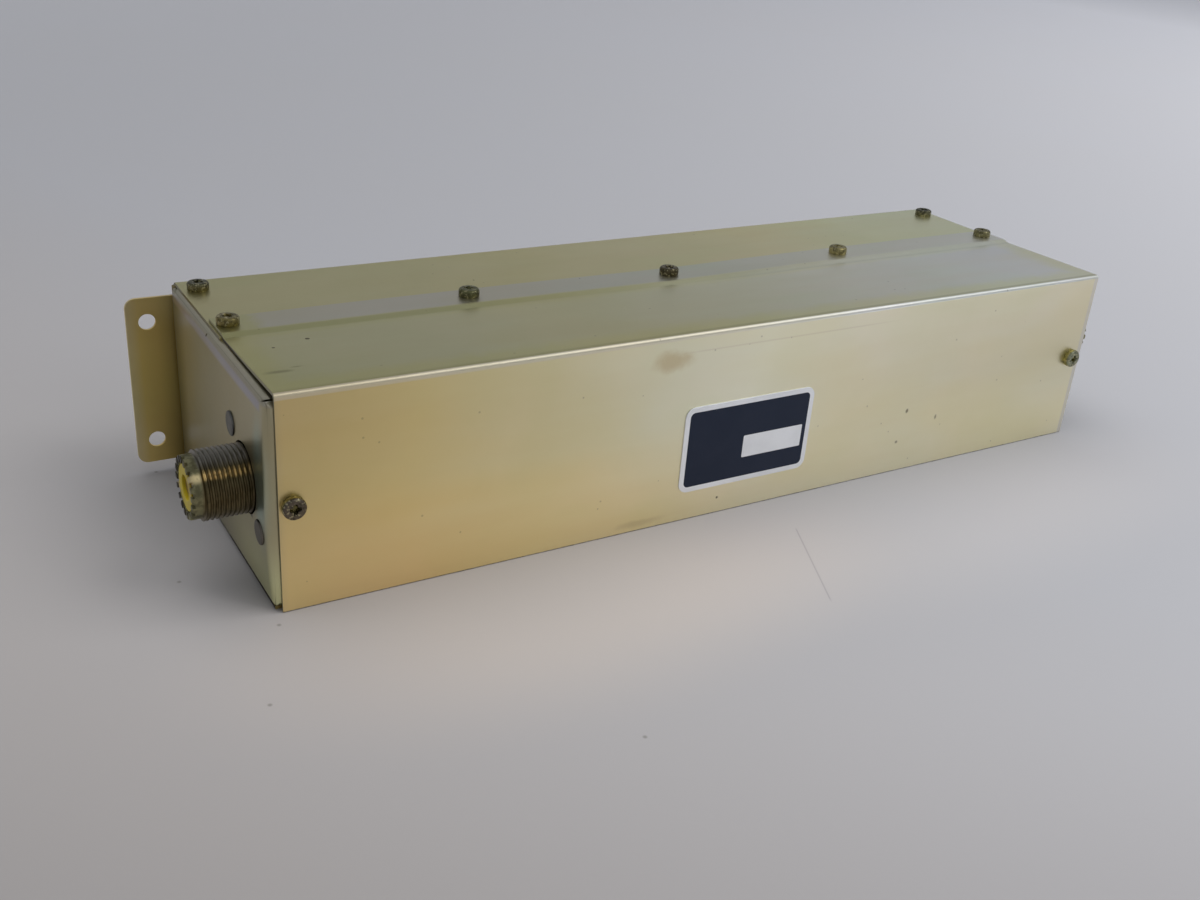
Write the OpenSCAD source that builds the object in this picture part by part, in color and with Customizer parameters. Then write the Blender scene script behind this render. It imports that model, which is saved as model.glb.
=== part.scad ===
// In-line radio frequency low pass filter: a long folded sheet box with a threaded coaxial
// socket on each end, mounting ears on its rear wall and a screwed seam along its top.
// Inside, three partitions part it into four cells. Each cell holds an air-wound coil, and a
// capacitor stands on each partition, joined to the signal line by a strap.
// +X runs along the box to the right-hand socket, +Y to the rear wall and +Z up.
// The origin is the centre of the underside.

/* [Box] */
// Length over the outer faces of the end plates
box_len = 254.2; // [230:0.2:300]
// Depth from the cover's front face to the rear wall's outer face
box_depth = 79.1; // [74:0.1:90]
// Height from the underside to the top of the cover
box_h = 52.1; // [48:0.1:64]
// Thickness of every folded sheet
sheet = 0.8; // [0.6:0.1:1]
// Outside radius of the bends in the chassis, the cover and the partitions
bend_r = 1.4; // [1.2:0.1:2.2]

/* [Chassis] */
// Width of the top flange, from the rear face to its front edge
rear_flange = 41.1; // [37:0.1:46]
// Height of the lip that stands up behind the cover's front face
front_lip_h = 9; // [6:0.5:12]
// Gap between the chassis's raw ends and the end plates' outer faces
chassis_inset = 0.6; // [0.4:0.1:1.2]
// Reach of each mounting ear beyond the end plate
ear_reach = 11.3; // [10:0.1:16]
// Height of each mounting ear
ear_h = 45; // [38:0.2:46]
// Height of the middle of the mounting ears above the underside
ear_mid_z = 25.4; // [25:0.1:27]
// Corner radius of each mounting ear
ear_corner_r = 2.6; // [1.5:0.1:4]
// Diameter of the holes in the mounting ears
ear_hole_d = 4.2; // [3.5:0.1:5]
// Distance from an ear hole's centre to the ear's outer edge
ear_hole_edge = 5.1; // [4.5:0.1:6]
// Height between the two holes of an ear
ear_hole_pitch = 32.4; // [26:0.2:34]

/* [Cover] */
// Gap between each end of the cover and the end plate's outer face
cover_inset = 1.05; // [0.5:0.05:1.4]
// Overlap of the cover's rear lip on the chassis's top flange
seam_overlap = 10.4; // [9.4:0.2:12]
// Distance from the seam screws to the edge of the cover's rear lip
seam_screw_edge = 4.9; // [4.6:0.1:6.4]
// Length of the step that raises the rear lip
step_run = 1; // [0.6:0.1:2]
// Gap between the step and the chassis's top flange
step_gap = 0.4; // [0.2:0.1:0.8]
// Gap under the cover's top panel beside the step
panel_gap = 0.2; // [0.1:0.05:0.5]
// Gap between the cover's lower edge and the surface that the box stands on
cover_foot = 0.2; // [0.1:0.1:0.6]

/* [End plates and partitions] */
// Width of the end plates' flanges
end_flange = 9; // [8.5:0.5:12]
// Outside radius of the bends in the end plates
end_bend_r = 2.2; // [1.4:0.1:2.6]
// Width of the partitions' flanges
partition_flange = 9; // [8:0.5:12]
// Width of the relief slots in the end plates' corners
relief_w = 0.4; // [0.3:0.1:0.6]
// Length of the relief slots in the end plates' corners
relief_len = 3.8; // [3:0.1:5]
// Height of the relief slots' outer ends over the end plates' corners
relief_rise = 0.7; // [0.5:0.1:1]
// Slope of the relief slots in degrees
relief_slope = 24; // [0:1:60]
// Diameter of the hole that a feed-through passes in a partition
feed_hole_d = 8; // [7:0.2:9]

/* [Screws] */
// Distance from a screw's centre to the end plate's outer face
screw_edge = 5.2; // [4.4:0.1:5.4]
// Distance from the rear corner screws to the rear face
rear_screw_back = 7.8; // [6:0.1:14]
// Height of the front screws above the underside
front_screw_z = 26.2; // [18:0.1:34]
// Diameter of the screw heads
screw_head_d = 5.3; // [5:0.1:6.4]
// Height of the screw heads
screw_head_h = 2.1; // [1.4:0.1:2.8]
// Diameter of the screw shanks
screw_d = 2.8; // [2.4:0.1:3]
// Length of the screws under the head
screw_len = 6; // [5:0.5:8]
// Gap round a screw in the sheets that it passes
screw_gap = 0.15; // [0.05:0.05:0.3]
// Width of the cross recess in the screw heads
recess_w = 0.8; // [0.6:0.1:1]

/* [Sockets] */
// Distance from the front face to the left socket's axis
socket_back_left = 16; // [15.6:0.1:24]
// Distance from the front face to the right socket's axis
socket_back_right = 17.4; // [15.6:0.1:24]
// Height of both sockets' axes above the underside
socket_z = 26.6; // [22:0.1:30]
// Reach of each socket beyond the end plate
socket_reach = 14; // [12:0.1:18]
// Outside diameter of the socket's thread
thread_d = 15.875; // [15:0.005:16.5]
// Diameter of the plain neck between the end plate and the thread
neck_d = 15.2; // [14.6:0.1:15.6]
// Length of the plain neck outside the end plate
neck_len = 1; // [0.8:0.1:1.5]
// Diameter of the plain nose in front of the thread
nose_d = 14.4; // [13.6:0.1:14.8]
// Length of the plain nose
nose_len = 2.9; // [2:0.1:4]
// Number of notches in the nose's rim
rim_notches = 18; // [12:2:24]
// Width of a notch in the nose's rim
notch_w = 0.9; // [0.6:0.1:1.2]
// Depth of a notch in the nose's rim
notch_depth = 1.1; // [0.6:0.1:1.2]
// Gap between the thread and the hole in the end plate
socket_hole_gap = 0.35; // [0.15:0.05:0.5]
// Side of the socket's square flange
socket_flange_w = 25.4; // [24:0.1:26]
// Thickness of the socket's square flange
socket_flange_t = 1.6; // [1.2:0.1:2]
// Distance between the holes in the socket's flange
socket_hole_pitch = 18.26; // [17.5:0.01:19]
// Diameter of the socket's insulator
insulator_d = 10.6; // [9.6:0.1:11.4]
// Depth of the insulator's face below the rim
insulator_recess = 0.3; // [0.2:0.1:2]
// Length of the insulator behind the flange
insulator_back = 3; // [2:0.5:5]
// Outside diameter of the centre contact
contact_d = 5.6; // [5:0.1:6.4]
// Diameter of the centre contact's bore
contact_bore_d = 4.1; // [3.8:0.05:4.3]
// Depth of the centre contact's bore
contact_bore_depth = 10; // [8:0.5:12]
// Depth of the contact's mouth below the insulator's face
contact_recess = 0.8; // [0.2:0.1:1.5]
// Length of the contact's solder tail
contact_tail = 6; // [4:0.5:8]
// Diameter of the contact's solder tail
contact_tail_d = 3.2; // [2.4:0.1:4]
// Diameter of the rivets' heads
rivet_head_d = 5.8; // [5:0.1:6.6]
// Height of the rivets' heads
rivet_head_h = 0.4; // [0.3:0.1:1]
// Diameter of the rivets' shanks
rivet_d = 3.1; // [2.6:0.1:3.2]
// Height of the rivets' closed tails
rivet_tail_h = 1.2; // [0.8:0.1:1.6]

/* [Label plate] */
// Width of the label plate
label_w = 41.4; // [36:0.2:50]
// Height of the label plate
label_h = 24; // [20:0.2:28]
// Thickness of the label plate
label_t = 0.3; // [0.2:0.05:0.5]
// Corner radius of the label plate
label_corner_r = 2.8; // [1:0.1:4]
// Height of the label plate's centre above the underside
label_z = 20.3; // [17:0.1:30]
// Offset of the label plate's centre to the right of the box's middle
label_x = -1; // [-60:0.5:60]

/* [Coils] */
// Outside radius of a coil's turns, to the middle of the wire
coil_r = 12; // [9:0.5:13]
// Length of a coil between its straight leads
coil_len = 26; // [22:0.5:26.5]
// Full turns of a coil
coil_turns = 4; // [3:1:5]
// Diameter of the coil wire
wire_d = 2.6; // [2:0.1:3]

/* [Capacitors and feed-throughs] */
// Distance from the feed-throughs' axis to the capacitors' axis
capacitor_offset = 34; // [32:0.5:38]
// Diameter of a capacitor's ceramic body
capacitor_d = 20; // [16:0.5:22]
// Length of a capacitor over its terminals
capacitor_len = 16; // [14:0.5:17]
// Diameter of a capacitor's terminals
terminal_d = 9; // [8:0.5:10]
// Height of a capacitor's terminals
terminal_h = 2; // [1.5:0.1:3]
// Diameter of the screws in a capacitor's terminals
terminal_screw_d = 3.6; // [3:0.1:4]
// Length of the screws in a capacitor's terminals, with the sheet that they pass
terminal_screw_len = 5; // [4:0.5:6]
// Width of the strap from a capacitor to the feed-through stud
strap_w = 7; // [6.5:0.5:9]
// Thickness of the strap
strap_t = 0.6; // [0.4:0.1:1]
// Diameter of the feed-through studs
stud_d = 3.4; // [3:0.1:3.8]
// Length of a stud that stands clear of its end nuts
stud_end = 1.5; // [1:0.5:3]
// Width of the hexagonal nuts across their corners
nut_d = 7.4; // [6.6:0.1:8]
// Height of the nuts
nut_h = 2.4; // [2:0.1:3]
// Diameter of a feed-through bushing where it meets the partition
bushing_d = 14; // [12:0.5:16]
// Diameter of a feed-through bushing where it meets its nut
bushing_neck_d = 9; // [8:0.5:11]
// Height of a feed-through bushing
bushing_h = 4; // [3:0.5:6]

/* [Hidden] */
$fn = 48;

// Colours of the finishes
chromate = [0.70, 0.64, 0.45];
chromate_dark = [0.58, 0.51, 0.30];
screw_brass = [0.45, 0.38, 0.16];
socket_metal = [0.52, 0.44, 0.26];
insulator_yellow = [0.82, 0.70, 0.12];
contact_brass = [0.60, 0.45, 0.20];
bare_metal = [0.62, 0.62, 0.60];
label_navy = [0.09, 0.13, 0.24];
wire_silver = [0.80, 0.78, 0.74];
ceramic_white = [0.88, 0.85, 0.78];
ceramic_brown = [0.56, 0.33, 0.18];

// Levels and faces of the box
half_len = box_len / 2;
rear_y = box_depth / 2;
front_y = -rear_y;
front_in = front_y + sheet;
rear_in = rear_y - sheet;
flange_top = box_h - sheet;
end_top = flange_top - sheet;
floor_top = sheet;

// Seam between the chassis's top flange and the cover's lip
flange_edge_y = rear_y - rear_flange;
lip_edge_y = flange_edge_y + seam_overlap;
step_high_y = flange_edge_y - step_gap;
step_low_y = step_high_y - step_run;
panel_top = end_top + panel_gap + sheet;

// Screw places
screw_x = half_len - screw_edge;
seam_pitch = screw_x / 2;
seam_screw_y = lip_edge_y - seam_screw_edge;
seam_screw_x = [for (i = [-2:2]) i * seam_pitch];
rear_screw_y = rear_y - rear_screw_back;
screw_hole_d = screw_d + 2 * screw_gap;
recess_len = 0.6 * screw_head_d;
recess_depth = 0.55 * screw_head_h;

// Small running gaps
fit_gap = 0.05;
edge_gap = 0.1;

// Ear places
ear_x = half_len + ear_reach - ear_hole_edge;
ear_root = 6;

// Sockets
socket_y_left = front_y + socket_back_left;
socket_y_right = front_y + socket_back_right;
socket_len = socket_reach + sheet;
insulator_face = socket_len - insulator_recess;
contact_mouth = insulator_face - contact_recess;
contact_back = -socket_flange_t - insulator_back;
socket_tail_x = half_len - sheet + contact_back - contact_tail;
rivet_tail_d = 1.5 * rivet_d;

// Places along the signal line, each from a partition's screw
partition_x = [-seam_pitch, 0, seam_pitch];
web_x = -partition_flange / 2;
capacitor_end = web_x - capacitor_len;
strap_face = capacitor_end - strap_t;
stud_left = strap_face - nut_h - stud_end;
stud_right = web_x + sheet + bushing_h + nut_h + stud_end;
feed_y = socket_y_left;
capacitor_y = feed_y + capacitor_offset;
bore_depth = terminal_screw_len + 0.4;

// Sweep of the coil wire
wire_sides = 8;
wire_step = 20;
lead_sweep = 120;
coil_sweep = 360 * coil_turns + 2 * lead_sweep;
wire_rings = coil_sweep / wire_step;

// A flat outline pushed along X, with its own x along Y and its own y along Z
module along_x(length) rotate([90, 0, 90]) linear_extrude(height = length, center = true) children();

// A flat outline pushed along Y, with its own x along X and its own y along Z
module along_y(length) rotate([90, 0, 0]) linear_extrude(height = length, center = true) children();

// A rectangle between two corners, with round corners
module round_rect(low, high, r) {
  for (x = [low[0] + r, high[0] - r], y = [low[1] + r, high[1] - r]) translate([x, y]) circle(r = r);
  translate([low[0] + r, low[1]]) square([high[0] - low[0] - 2 * r, high[1] - low[1]]);
  translate([low[0], low[1] + r]) square([high[0] - low[0], high[1] - low[1] - 2 * r]);
}

// The section of a folded sheet tube, with bends in its four corners
module sheet_tube(low, high) {
  difference() {
    round_rect(low, high, bend_r);
    round_rect(low + [sheet, sheet], high - [sheet, sheet], bend_r - sheet);
  }
}

// A hole straight down through the top sheets, or along another axis once turned
module screw_hole(depth = 6) translate([0, 0, -depth / 2]) cylinder(d = screw_hole_d, h = depth);

// Pan head screw, seated at z = 0 with its head upwards
module pan_screw(head_d, head_h, d, length) {
  dome = head_h / 4;
  dome_r = (head_d * head_d / 4 + dome * dome) / (2 * dome);
  difference() {
    union() {
      intersection() {
        cylinder(d = head_d, h = head_h);
        translate([0, 0, head_h - dome_r]) sphere(r = dome_r, $fn = 96);
      }
      translate([0, 0, -length]) cylinder(d = d, h = length);
    }
    for (a = [0, 90])
      rotate(a) translate([-recess_len / 2, -recess_w / 2, head_h - recess_depth])
        cube([recess_len, recess_w, recess_depth]);
  }
}

module box_screw() pan_screw(screw_head_d, screw_head_h, screw_d, screw_len);

// Bottom, rear wall, top flange and front lip, folded from one sheet with the two ears
module chassis() {
  lip_half = half_len - end_flange - sheet;
  color(chromate) difference() {
    union() {
      along_x(box_len - 2 * chassis_inset) difference() {
        sheet_tube([front_in, 0], [rear_y, flange_top]);
        translate([front_in - 1, front_lip_h]) square([flange_edge_y - front_in + 1, box_h]);
      }
      for (side = [-1, 1]) scale([side, 1, 1]) ear();
    }
    for (side = [-1, 1])
      translate([side * (lip_half + half_len) / 2, front_in + bend_r / 2 - 0.5, box_h / 2 - 1])
        cube([half_len - lip_half, bend_r + 1, box_h], center = true);
    for (x = seam_screw_x) translate([x, seam_screw_y, flange_top]) screw_hole();
    for (x = [-screw_x, screw_x]) translate([x, rear_screw_y, flange_top]) screw_hole();
  }
}

// Right-hand mounting ear with its two holes
module ear() {
  inner = half_len - ear_root;
  outer = half_len + ear_reach;
  translate([0, rear_y - sheet / 2, 0]) along_y(sheet) difference() {
    union() {
      round_rect([inner, ear_mid_z - ear_h / 2], [outer, ear_mid_z + ear_h / 2], ear_corner_r);
      translate([inner, ear_mid_z - ear_h / 2]) square([ear_root - 1, ear_h]);
    }
    for (side = [-1, 1]) translate([ear_x, ear_mid_z + side * ear_hole_pitch / 2]) circle(d = ear_hole_d);
  }
}

// Filled outline under the cover's outside, or under its inside at an inset of the sheet
module cover_outline(inset) {
  top = box_h - inset;
  slope_start = front_y + bend_r + sheet;
  difference() {
    round_rect([front_y + inset, -box_h], [lip_edge_y + box_depth, top], bend_r - inset);
    polygon([
      [slope_start, top], [step_low_y, panel_top - inset], [step_high_y, top],
      [step_high_y, top + 1], [slope_start, top + 1]
    ]);
  }
}

// Front face and front part of the top, with a raised lip over the chassis's flange
module cover() {
  color(chromate) difference() {
    along_x(box_len - 2 * cover_inset) difference() {
      cover_outline(0);
      cover_outline(sheet);
      translate([lip_edge_y, -2 * box_h]) square([2 * box_depth, 4 * box_h]);
      translate([front_y - 1, -2 * box_h]) square([2 * box_depth, 2 * box_h + cover_foot]);
    }
    for (x = seam_screw_x) translate([x, seam_screw_y, box_h]) screw_hole();
    for (x = [-screw_x, screw_x]) translate([x, front_y, front_screw_z]) rotate([90, 0, 0]) screw_hole();
  }
}

// Left-hand end plate: a tray folded inwards on its four sides
module end_plate(socket_y) {
  face = -half_len;
  block = 3 * end_flange;
  color(chromate_dark) difference() {
    end_block(face, block, 0);
    end_block(face + sheet, block, sheet);
    translate([face + end_flange, -box_depth, -1]) cube([block, 2 * box_depth, box_h + 2]);
    translate([face, socket_y, socket_z]) rotate([0, 90, 0])
      cylinder(d = thread_d + 2 * socket_hole_gap, h = 4 * sheet, center = true);
    for (side = [-1, 1])
      translate([face, socket_y + side * socket_hole_pitch / 2, socket_z + side * socket_hole_pitch / 2])
        rotate([0, 90, 0]) cylinder(d = rivet_d + 2 * fit_gap, h = 4 * sheet, center = true);
    translate([-screw_x, seam_screw_y, end_top]) screw_hole();
    translate([-screw_x, rear_screw_y, end_top]) screw_hole();
    translate([-screw_x, front_in, front_screw_z]) rotate([90, 0, 0]) screw_hole();
    for (y_side = [-1, 1], z_side = [-1, 1])
      translate([face - 1, y_side * rear_in, (end_top + floor_top) / 2 + z_side * (end_top - floor_top) / 2])
        scale([1, -y_side, -z_side]) rotate([relief_slope, 0, 0]) translate([0, -1, -relief_rise])
          cube([end_flange + 2, relief_len + 1, relief_w]);
  }
}

// Block with the end plate's bends on its front, rear, top and bottom edges
module end_block(face, block, inset) {
  r = end_bend_r - inset;
  low_y = front_in + inset;
  high_y = rear_in - inset;
  low_z = floor_top + inset;
  high_z = end_top - inset;
  intersection() {
    along_y(2 * box_depth) round_rect([face, low_z], [face + block, high_z], r);
    translate([0, 0, -1]) linear_extrude(height = box_h + 2) round_rect([face, low_y], [face + block, high_y], r);
    along_x(2 * box_len) round_rect([low_y, low_z], [high_y, high_z], r);
  }
}

// Partition: a web with a flange at the top, under the seam's screw, and one at the bottom
module partition_at(x) {
  flange_end = x + partition_flange / 2;
  color(chromate_dark) difference() {
    intersection() {
      along_y(2 * box_depth) difference() {
        sheet_tube([x + web_x, floor_top], [x + web_x + 3 * partition_flange, end_top]);
        translate([flange_end, 0]) square([3 * partition_flange, box_h]);
      }
      along_x(2 * box_len)
        round_rect([front_in + sheet + edge_gap, floor_top], [rear_in, end_top], bend_r);
    }
    translate([x, seam_screw_y, end_top]) screw_hole();
    translate([x + web_x, feed_y, socket_z]) rotate([0, 90, 0])
      cylinder(d = feed_hole_d, h = 4 * sheet, center = true);
    translate([x + web_x, capacitor_y, socket_z]) rotate([0, 90, 0])
      cylinder(d = terminal_screw_d + 2 * fit_gap, h = 4 * sheet, center = true);
  }
}

module seam_screws() color(screw_brass)
  for (x = seam_screw_x) translate([x, seam_screw_y, box_h]) rotate(x) box_screw();

module rear_screws() color(screw_brass)
  for (x = [-screw_x, screw_x]) translate([x, rear_screw_y, flange_top]) rotate(x) box_screw();

module front_screws() color(screw_brass)
  for (x = [-screw_x, screw_x])
    translate([x, front_y, front_screw_z]) rotate([90, 0, 0]) rotate(x) box_screw();

module label_plate() color(label_navy)
  translate([label_x, front_y - label_t / 2, 0]) along_y(label_t)
    round_rect([-label_w / 2, label_z - label_h / 2], [label_w / 2, label_z + label_h / 2], label_corner_r);

// Puts a socket's piece on an end plate, its own +Z pointing out of the box
module on_end(side, y) translate([side * (half_len - sheet), y, socket_z]) rotate([0, side * 90, 0]) children();

// Threaded barrel with a notched rim and a square flange behind the end plate
module socket_shell() {
  color(socket_metal) difference() {
    union() {
      translate([0, 0, -socket_flange_t / 2])
        cube([socket_flange_w, socket_flange_w, socket_flange_t], center = true);
      cylinder(d = neck_d, h = socket_len - nose_len);
      translate([0, 0, sheet + neck_len]) cylinder(d = thread_d, h = socket_reach - nose_len - neck_len);
      cylinder(d = nose_d, h = socket_len);
    }
    translate([0, 0, -socket_flange_t - 1]) cylinder(d = insulator_d + 2 * fit_gap, h = socket_len + socket_flange_t + 2);
    for (i = [0:rim_notches / 2 - 1])
      rotate(i * 360 / rim_notches) translate([-nose_d, -notch_w / 2, socket_len - notch_depth])
        cube([2 * nose_d, notch_w, notch_depth + 1]);
    for (x = [-1, 1], y = [-1, 1])
      translate([x * socket_hole_pitch / 2, y * socket_hole_pitch / 2, -socket_flange_t - 1])
        cylinder(d = rivet_d + 2 * fit_gap, h = socket_flange_t + 2);
  }
}

// Moulded plug that holds the centre contact
module socket_insulator() {
  color(insulator_yellow) difference() {
    translate([0, 0, contact_back]) cylinder(d = insulator_d, h = insulator_face - contact_back);
    translate([0, 0, contact_back - 1]) cylinder(d = contact_d + 2 * fit_gap, h = insulator_face - contact_back + 2);
  }
}

// Centre contact with a bore for the plug's pin and a solder tail
module socket_contact() {
  color(contact_brass) difference() {
    union() {
      translate([0, 0, contact_back]) cylinder(d = contact_d, h = contact_mouth - contact_back);
      translate([0, 0, contact_back - contact_tail]) cylinder(d = contact_tail_d, h = contact_tail);
    }
    translate([0, 0, contact_mouth - contact_bore_depth]) cylinder(d = contact_bore_d, h = contact_bore_depth + 1);
  }
}

// Two flat-headed rivets on opposite corners of a socket's flange
module socket_rivets(side) {
  half_pitch = socket_hole_pitch / 2;
  color(bare_metal) for (corner = [-1, 1])
    translate([-side * corner * half_pitch, corner * half_pitch, 0]) {
      translate([0, 0, sheet]) cylinder(d = rivet_head_d, h = rivet_head_h);
      translate([0, 0, -socket_flange_t]) cylinder(d = rivet_d, h = socket_flange_t + sheet);
      translate([0, 0, -socket_flange_t - rivet_tail_h]) cylinder(d = rivet_tail_d, h = rivet_tail_h);
    }
}

// Share of the full radius at an angle of the sweep, rising and falling over the leads
function radius_share(a) = (1 - cos(180 * min(1, a / lead_sweep, (coil_sweep - a) / lead_sweep))) / 2;

// Point on the wire's middle line, from the coil's start to its end
function wire_point(from, to, a) =
  let (
    share = a / coil_sweep,
    span = to[0] - from[0],
    x = from[0] + (span - coil_len) / 2 + coil_len * share,
    y = from[1] + (to[1] - from[1]) * (x - from[0]) / span,
    r = coil_r * radius_share(a)
  ) [x, y + r * cos(a), socket_z + r * sin(a)];

function unit(v) = v / norm(v);

// Corners of the wire's ring at a point, square to the way the wire runs
function wire_ring(p, along, out) =
  let (n = unit(out - (out * along) * along), b = cross(along, n))
  [for (k = [0:wire_sides - 1])
    let (t = 360 * k / wire_sides) p + wire_d / 2 * (cos(t) * n + sin(t) * b)];

// Air-wound coil with straight leads, between two points of the signal line
module coil(from, to) {
  turns = [for (i = [0:wire_rings]) wire_point(from, to, i * wire_step)];
  line = concat([[from[0], from[1], socket_z]], turns, [[to[0], to[1], socket_z]]);
  last = len(line) - 1;
  rings = [
    for (i = [0:last])
      let (
        a = min(max(i - 1, 0), wire_rings) * wire_step,
        along = i == 0 || i == last ? [1, 0, 0] : unit(line[i + 1] - line[i - 1])
      ) each wire_ring(line[i], along, [0, cos(a), sin(a)])
  ];
  sides = [
    for (i = [0:last - 1], k = [0:wire_sides - 1])
      let (n = (k + 1) % wire_sides, s = i * wire_sides, e = s + wire_sides)
      each [[s + k, e + k, s + n], [s + n, e + k, e + n]]
  ];
  start_cap = [for (k = [0:wire_sides - 1]) k];
  end_cap = [for (k = [wire_sides - 1:-1:0]) last * wire_sides + k];
  color(wire_silver) polyhedron(points = rings, faces = concat(sides, [start_cap, end_cap]), convexity = 10);
}

// Puts a piece of the signal line at a partition, its own +Z pointing along +X
module on_line(x) translate([x, feed_y, socket_z]) rotate([0, 90, 0]) children();

// Pair of ceramic bushings that keep the stud clear of the partition
module feed_bushings(x) {
  bore_d = stud_d + 2 * fit_gap;
  spigot_d = feed_hole_d - 2 * fit_gap;
  color(ceramic_white) on_line(x) {
    difference() {
      translate([0, 0, web_x - bushing_h]) cylinder(d1 = bushing_neck_d, d2 = bushing_d, h = bushing_h);
      translate([0, 0, web_x - bushing_h - 1]) cylinder(d = bore_d, h = bushing_h + 2);
    }
    difference() {
      union() {
        translate([0, 0, web_x]) cylinder(d = spigot_d, h = sheet);
        translate([0, 0, web_x + sheet]) cylinder(d1 = bushing_d, d2 = bushing_neck_d, h = bushing_h);
      }
      translate([0, 0, web_x - 1]) cylinder(d = bore_d, h = bushing_h + sheet + 2);
    }
  }
}

module feed_stud(x) color(contact_brass)
  on_line(x) translate([0, 0, stud_left]) cylinder(d = stud_d, h = stud_right - stud_left);

// Nuts on both sides of the strap and outside both bushings
module feed_nuts(x) {
  places = [strap_face - nut_h, capacitor_end, web_x - bushing_h - nut_h, web_x + sheet + bushing_h];
  color(screw_brass) on_line(x) for (z = places) translate([0, 0, z]) difference() {
    cylinder(d = nut_d, h = nut_h, $fn = 6);
    translate([0, 0, -1]) cylinder(d = stud_d + 2 * fit_gap, h = nut_h + 2);
  }
}

// Ceramic body with a waist and a threaded terminal at each end
module capacitor(x) {
  rim = capacitor_d / 2;
  waist = rim - 1.5;
  low = terminal_h;
  high = capacitor_len - terminal_h;
  step = (high - low) / 4;
  color(ceramic_brown) translate([x + capacitor_end, capacitor_y, socket_z]) rotate([0, 90, 0])
    difference() {
      rotate_extrude() polygon([
        [0, 0], [terminal_d / 2, 0], [terminal_d / 2, low], [rim - 1, low], [rim, low + 1],
        [rim, low + step], [waist, low + step + 1], [waist, high - step - 1], [rim, high - step],
        [rim, high - 1], [rim - 1, high], [terminal_d / 2, high], [terminal_d / 2, capacitor_len],
        [0, capacitor_len]
      ]);
      for (z = [-1, capacitor_len - bore_depth])
        translate([0, 0, z]) cylinder(d = terminal_screw_d + 2 * fit_gap, h = bore_depth + 1);
    }
}

// Flat strap from the capacitor's terminal to the stud
module capacitor_strap(x) {
  color(wire_silver) translate([x + strap_face + strap_t / 2, 0, 0]) along_x(strap_t) difference() {
    union() {
      for (y = [feed_y, capacitor_y]) translate([y, socket_z]) circle(d = strap_w);
      translate([feed_y, socket_z - strap_w / 2]) square([capacitor_offset, strap_w]);
    }
    translate([feed_y, socket_z]) circle(d = stud_d + 2 * fit_gap);
    translate([capacitor_y, socket_z]) circle(d = terminal_screw_d + 2 * fit_gap);
  }
}

// Screw through the strap, and screw through the partition
module capacitor_screws(x) {
  head_d = terminal_d - 2;
  color(screw_brass) translate([x, capacitor_y, socket_z]) {
    translate([strap_face, 0, 0]) rotate([0, -90, 0])
      pan_screw(head_d, screw_head_h, terminal_screw_d, terminal_screw_len);
    translate([web_x + sheet, 0, 0]) rotate([0, 90, 0])
      pan_screw(head_d, screw_head_h, terminal_screw_d, terminal_screw_len);
  }
}

chassis();
cover();
end_plate(socket_y_left);  // end_plate_left
mirror([1, 0, 0]) end_plate(socket_y_right);  // end_plate_right
partition_at(partition_x[0]);  // partition_left
partition_at(partition_x[1]);  // partition_middle
partition_at(partition_x[2]);  // partition_right
seam_screws();
rear_screws();
front_screws();
label_plate();
on_end(-1, socket_y_left) socket_shell();  // socket_shell_left
on_end(-1, socket_y_left) socket_insulator();  // socket_insulator_left
on_end(-1, socket_y_left) socket_contact();  // socket_contact_left
on_end(-1, socket_y_left) socket_rivets(-1);  // socket_rivets_left
on_end(1, socket_y_right) socket_shell();  // socket_shell_right
on_end(1, socket_y_right) socket_insulator();  // socket_insulator_right
on_end(1, socket_y_right) socket_contact();  // socket_contact_right
on_end(1, socket_y_right) socket_rivets(1);  // socket_rivets_right
coil([-socket_tail_x, socket_y_left], [partition_x[0] + stud_left, feed_y]);  // coil_input
coil([partition_x[0] + stud_right, feed_y], [partition_x[1] + stud_left, feed_y]);  // coil_second
coil([partition_x[1] + stud_right, feed_y], [partition_x[2] + stud_left, feed_y]);  // coil_third
coil([partition_x[2] + stud_right, feed_y], [socket_tail_x, socket_y_right]);  // coil_output
feed_bushings(partition_x[0]);  // feed_bushings_left
feed_stud(partition_x[0]);  // feed_stud_left
feed_nuts(partition_x[0]);  // feed_nuts_left
feed_bushings(partition_x[1]);  // feed_bushings_middle
feed_stud(partition_x[1]);  // feed_stud_middle
feed_nuts(partition_x[1]);  // feed_nuts_middle
feed_bushings(partition_x[2]);  // feed_bushings_right
feed_stud(partition_x[2]);  // feed_stud_right
feed_nuts(partition_x[2]);  // feed_nuts_right
capacitor(partition_x[0]);  // capacitor_left
capacitor_strap(partition_x[0]);  // capacitor_strap_left
capacitor_screws(partition_x[0]);  // capacitor_screws_left
capacitor(partition_x[1]);  // capacitor_middle
capacitor_strap(partition_x[1]);  // capacitor_strap_middle
capacitor_screws(partition_x[1]);  // capacitor_screws_middle
capacitor(partition_x[2]);  // capacitor_right
capacitor_strap(partition_x[2]);  // capacitor_strap_right
capacitor_screws(partition_x[2]);  // capacitor_screws_right
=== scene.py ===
"""Looks of the low pass filter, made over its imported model: an add-on that is run as a script."""

import math

import bmesh
import bpy
from mathutils import Matrix, Vector


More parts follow.
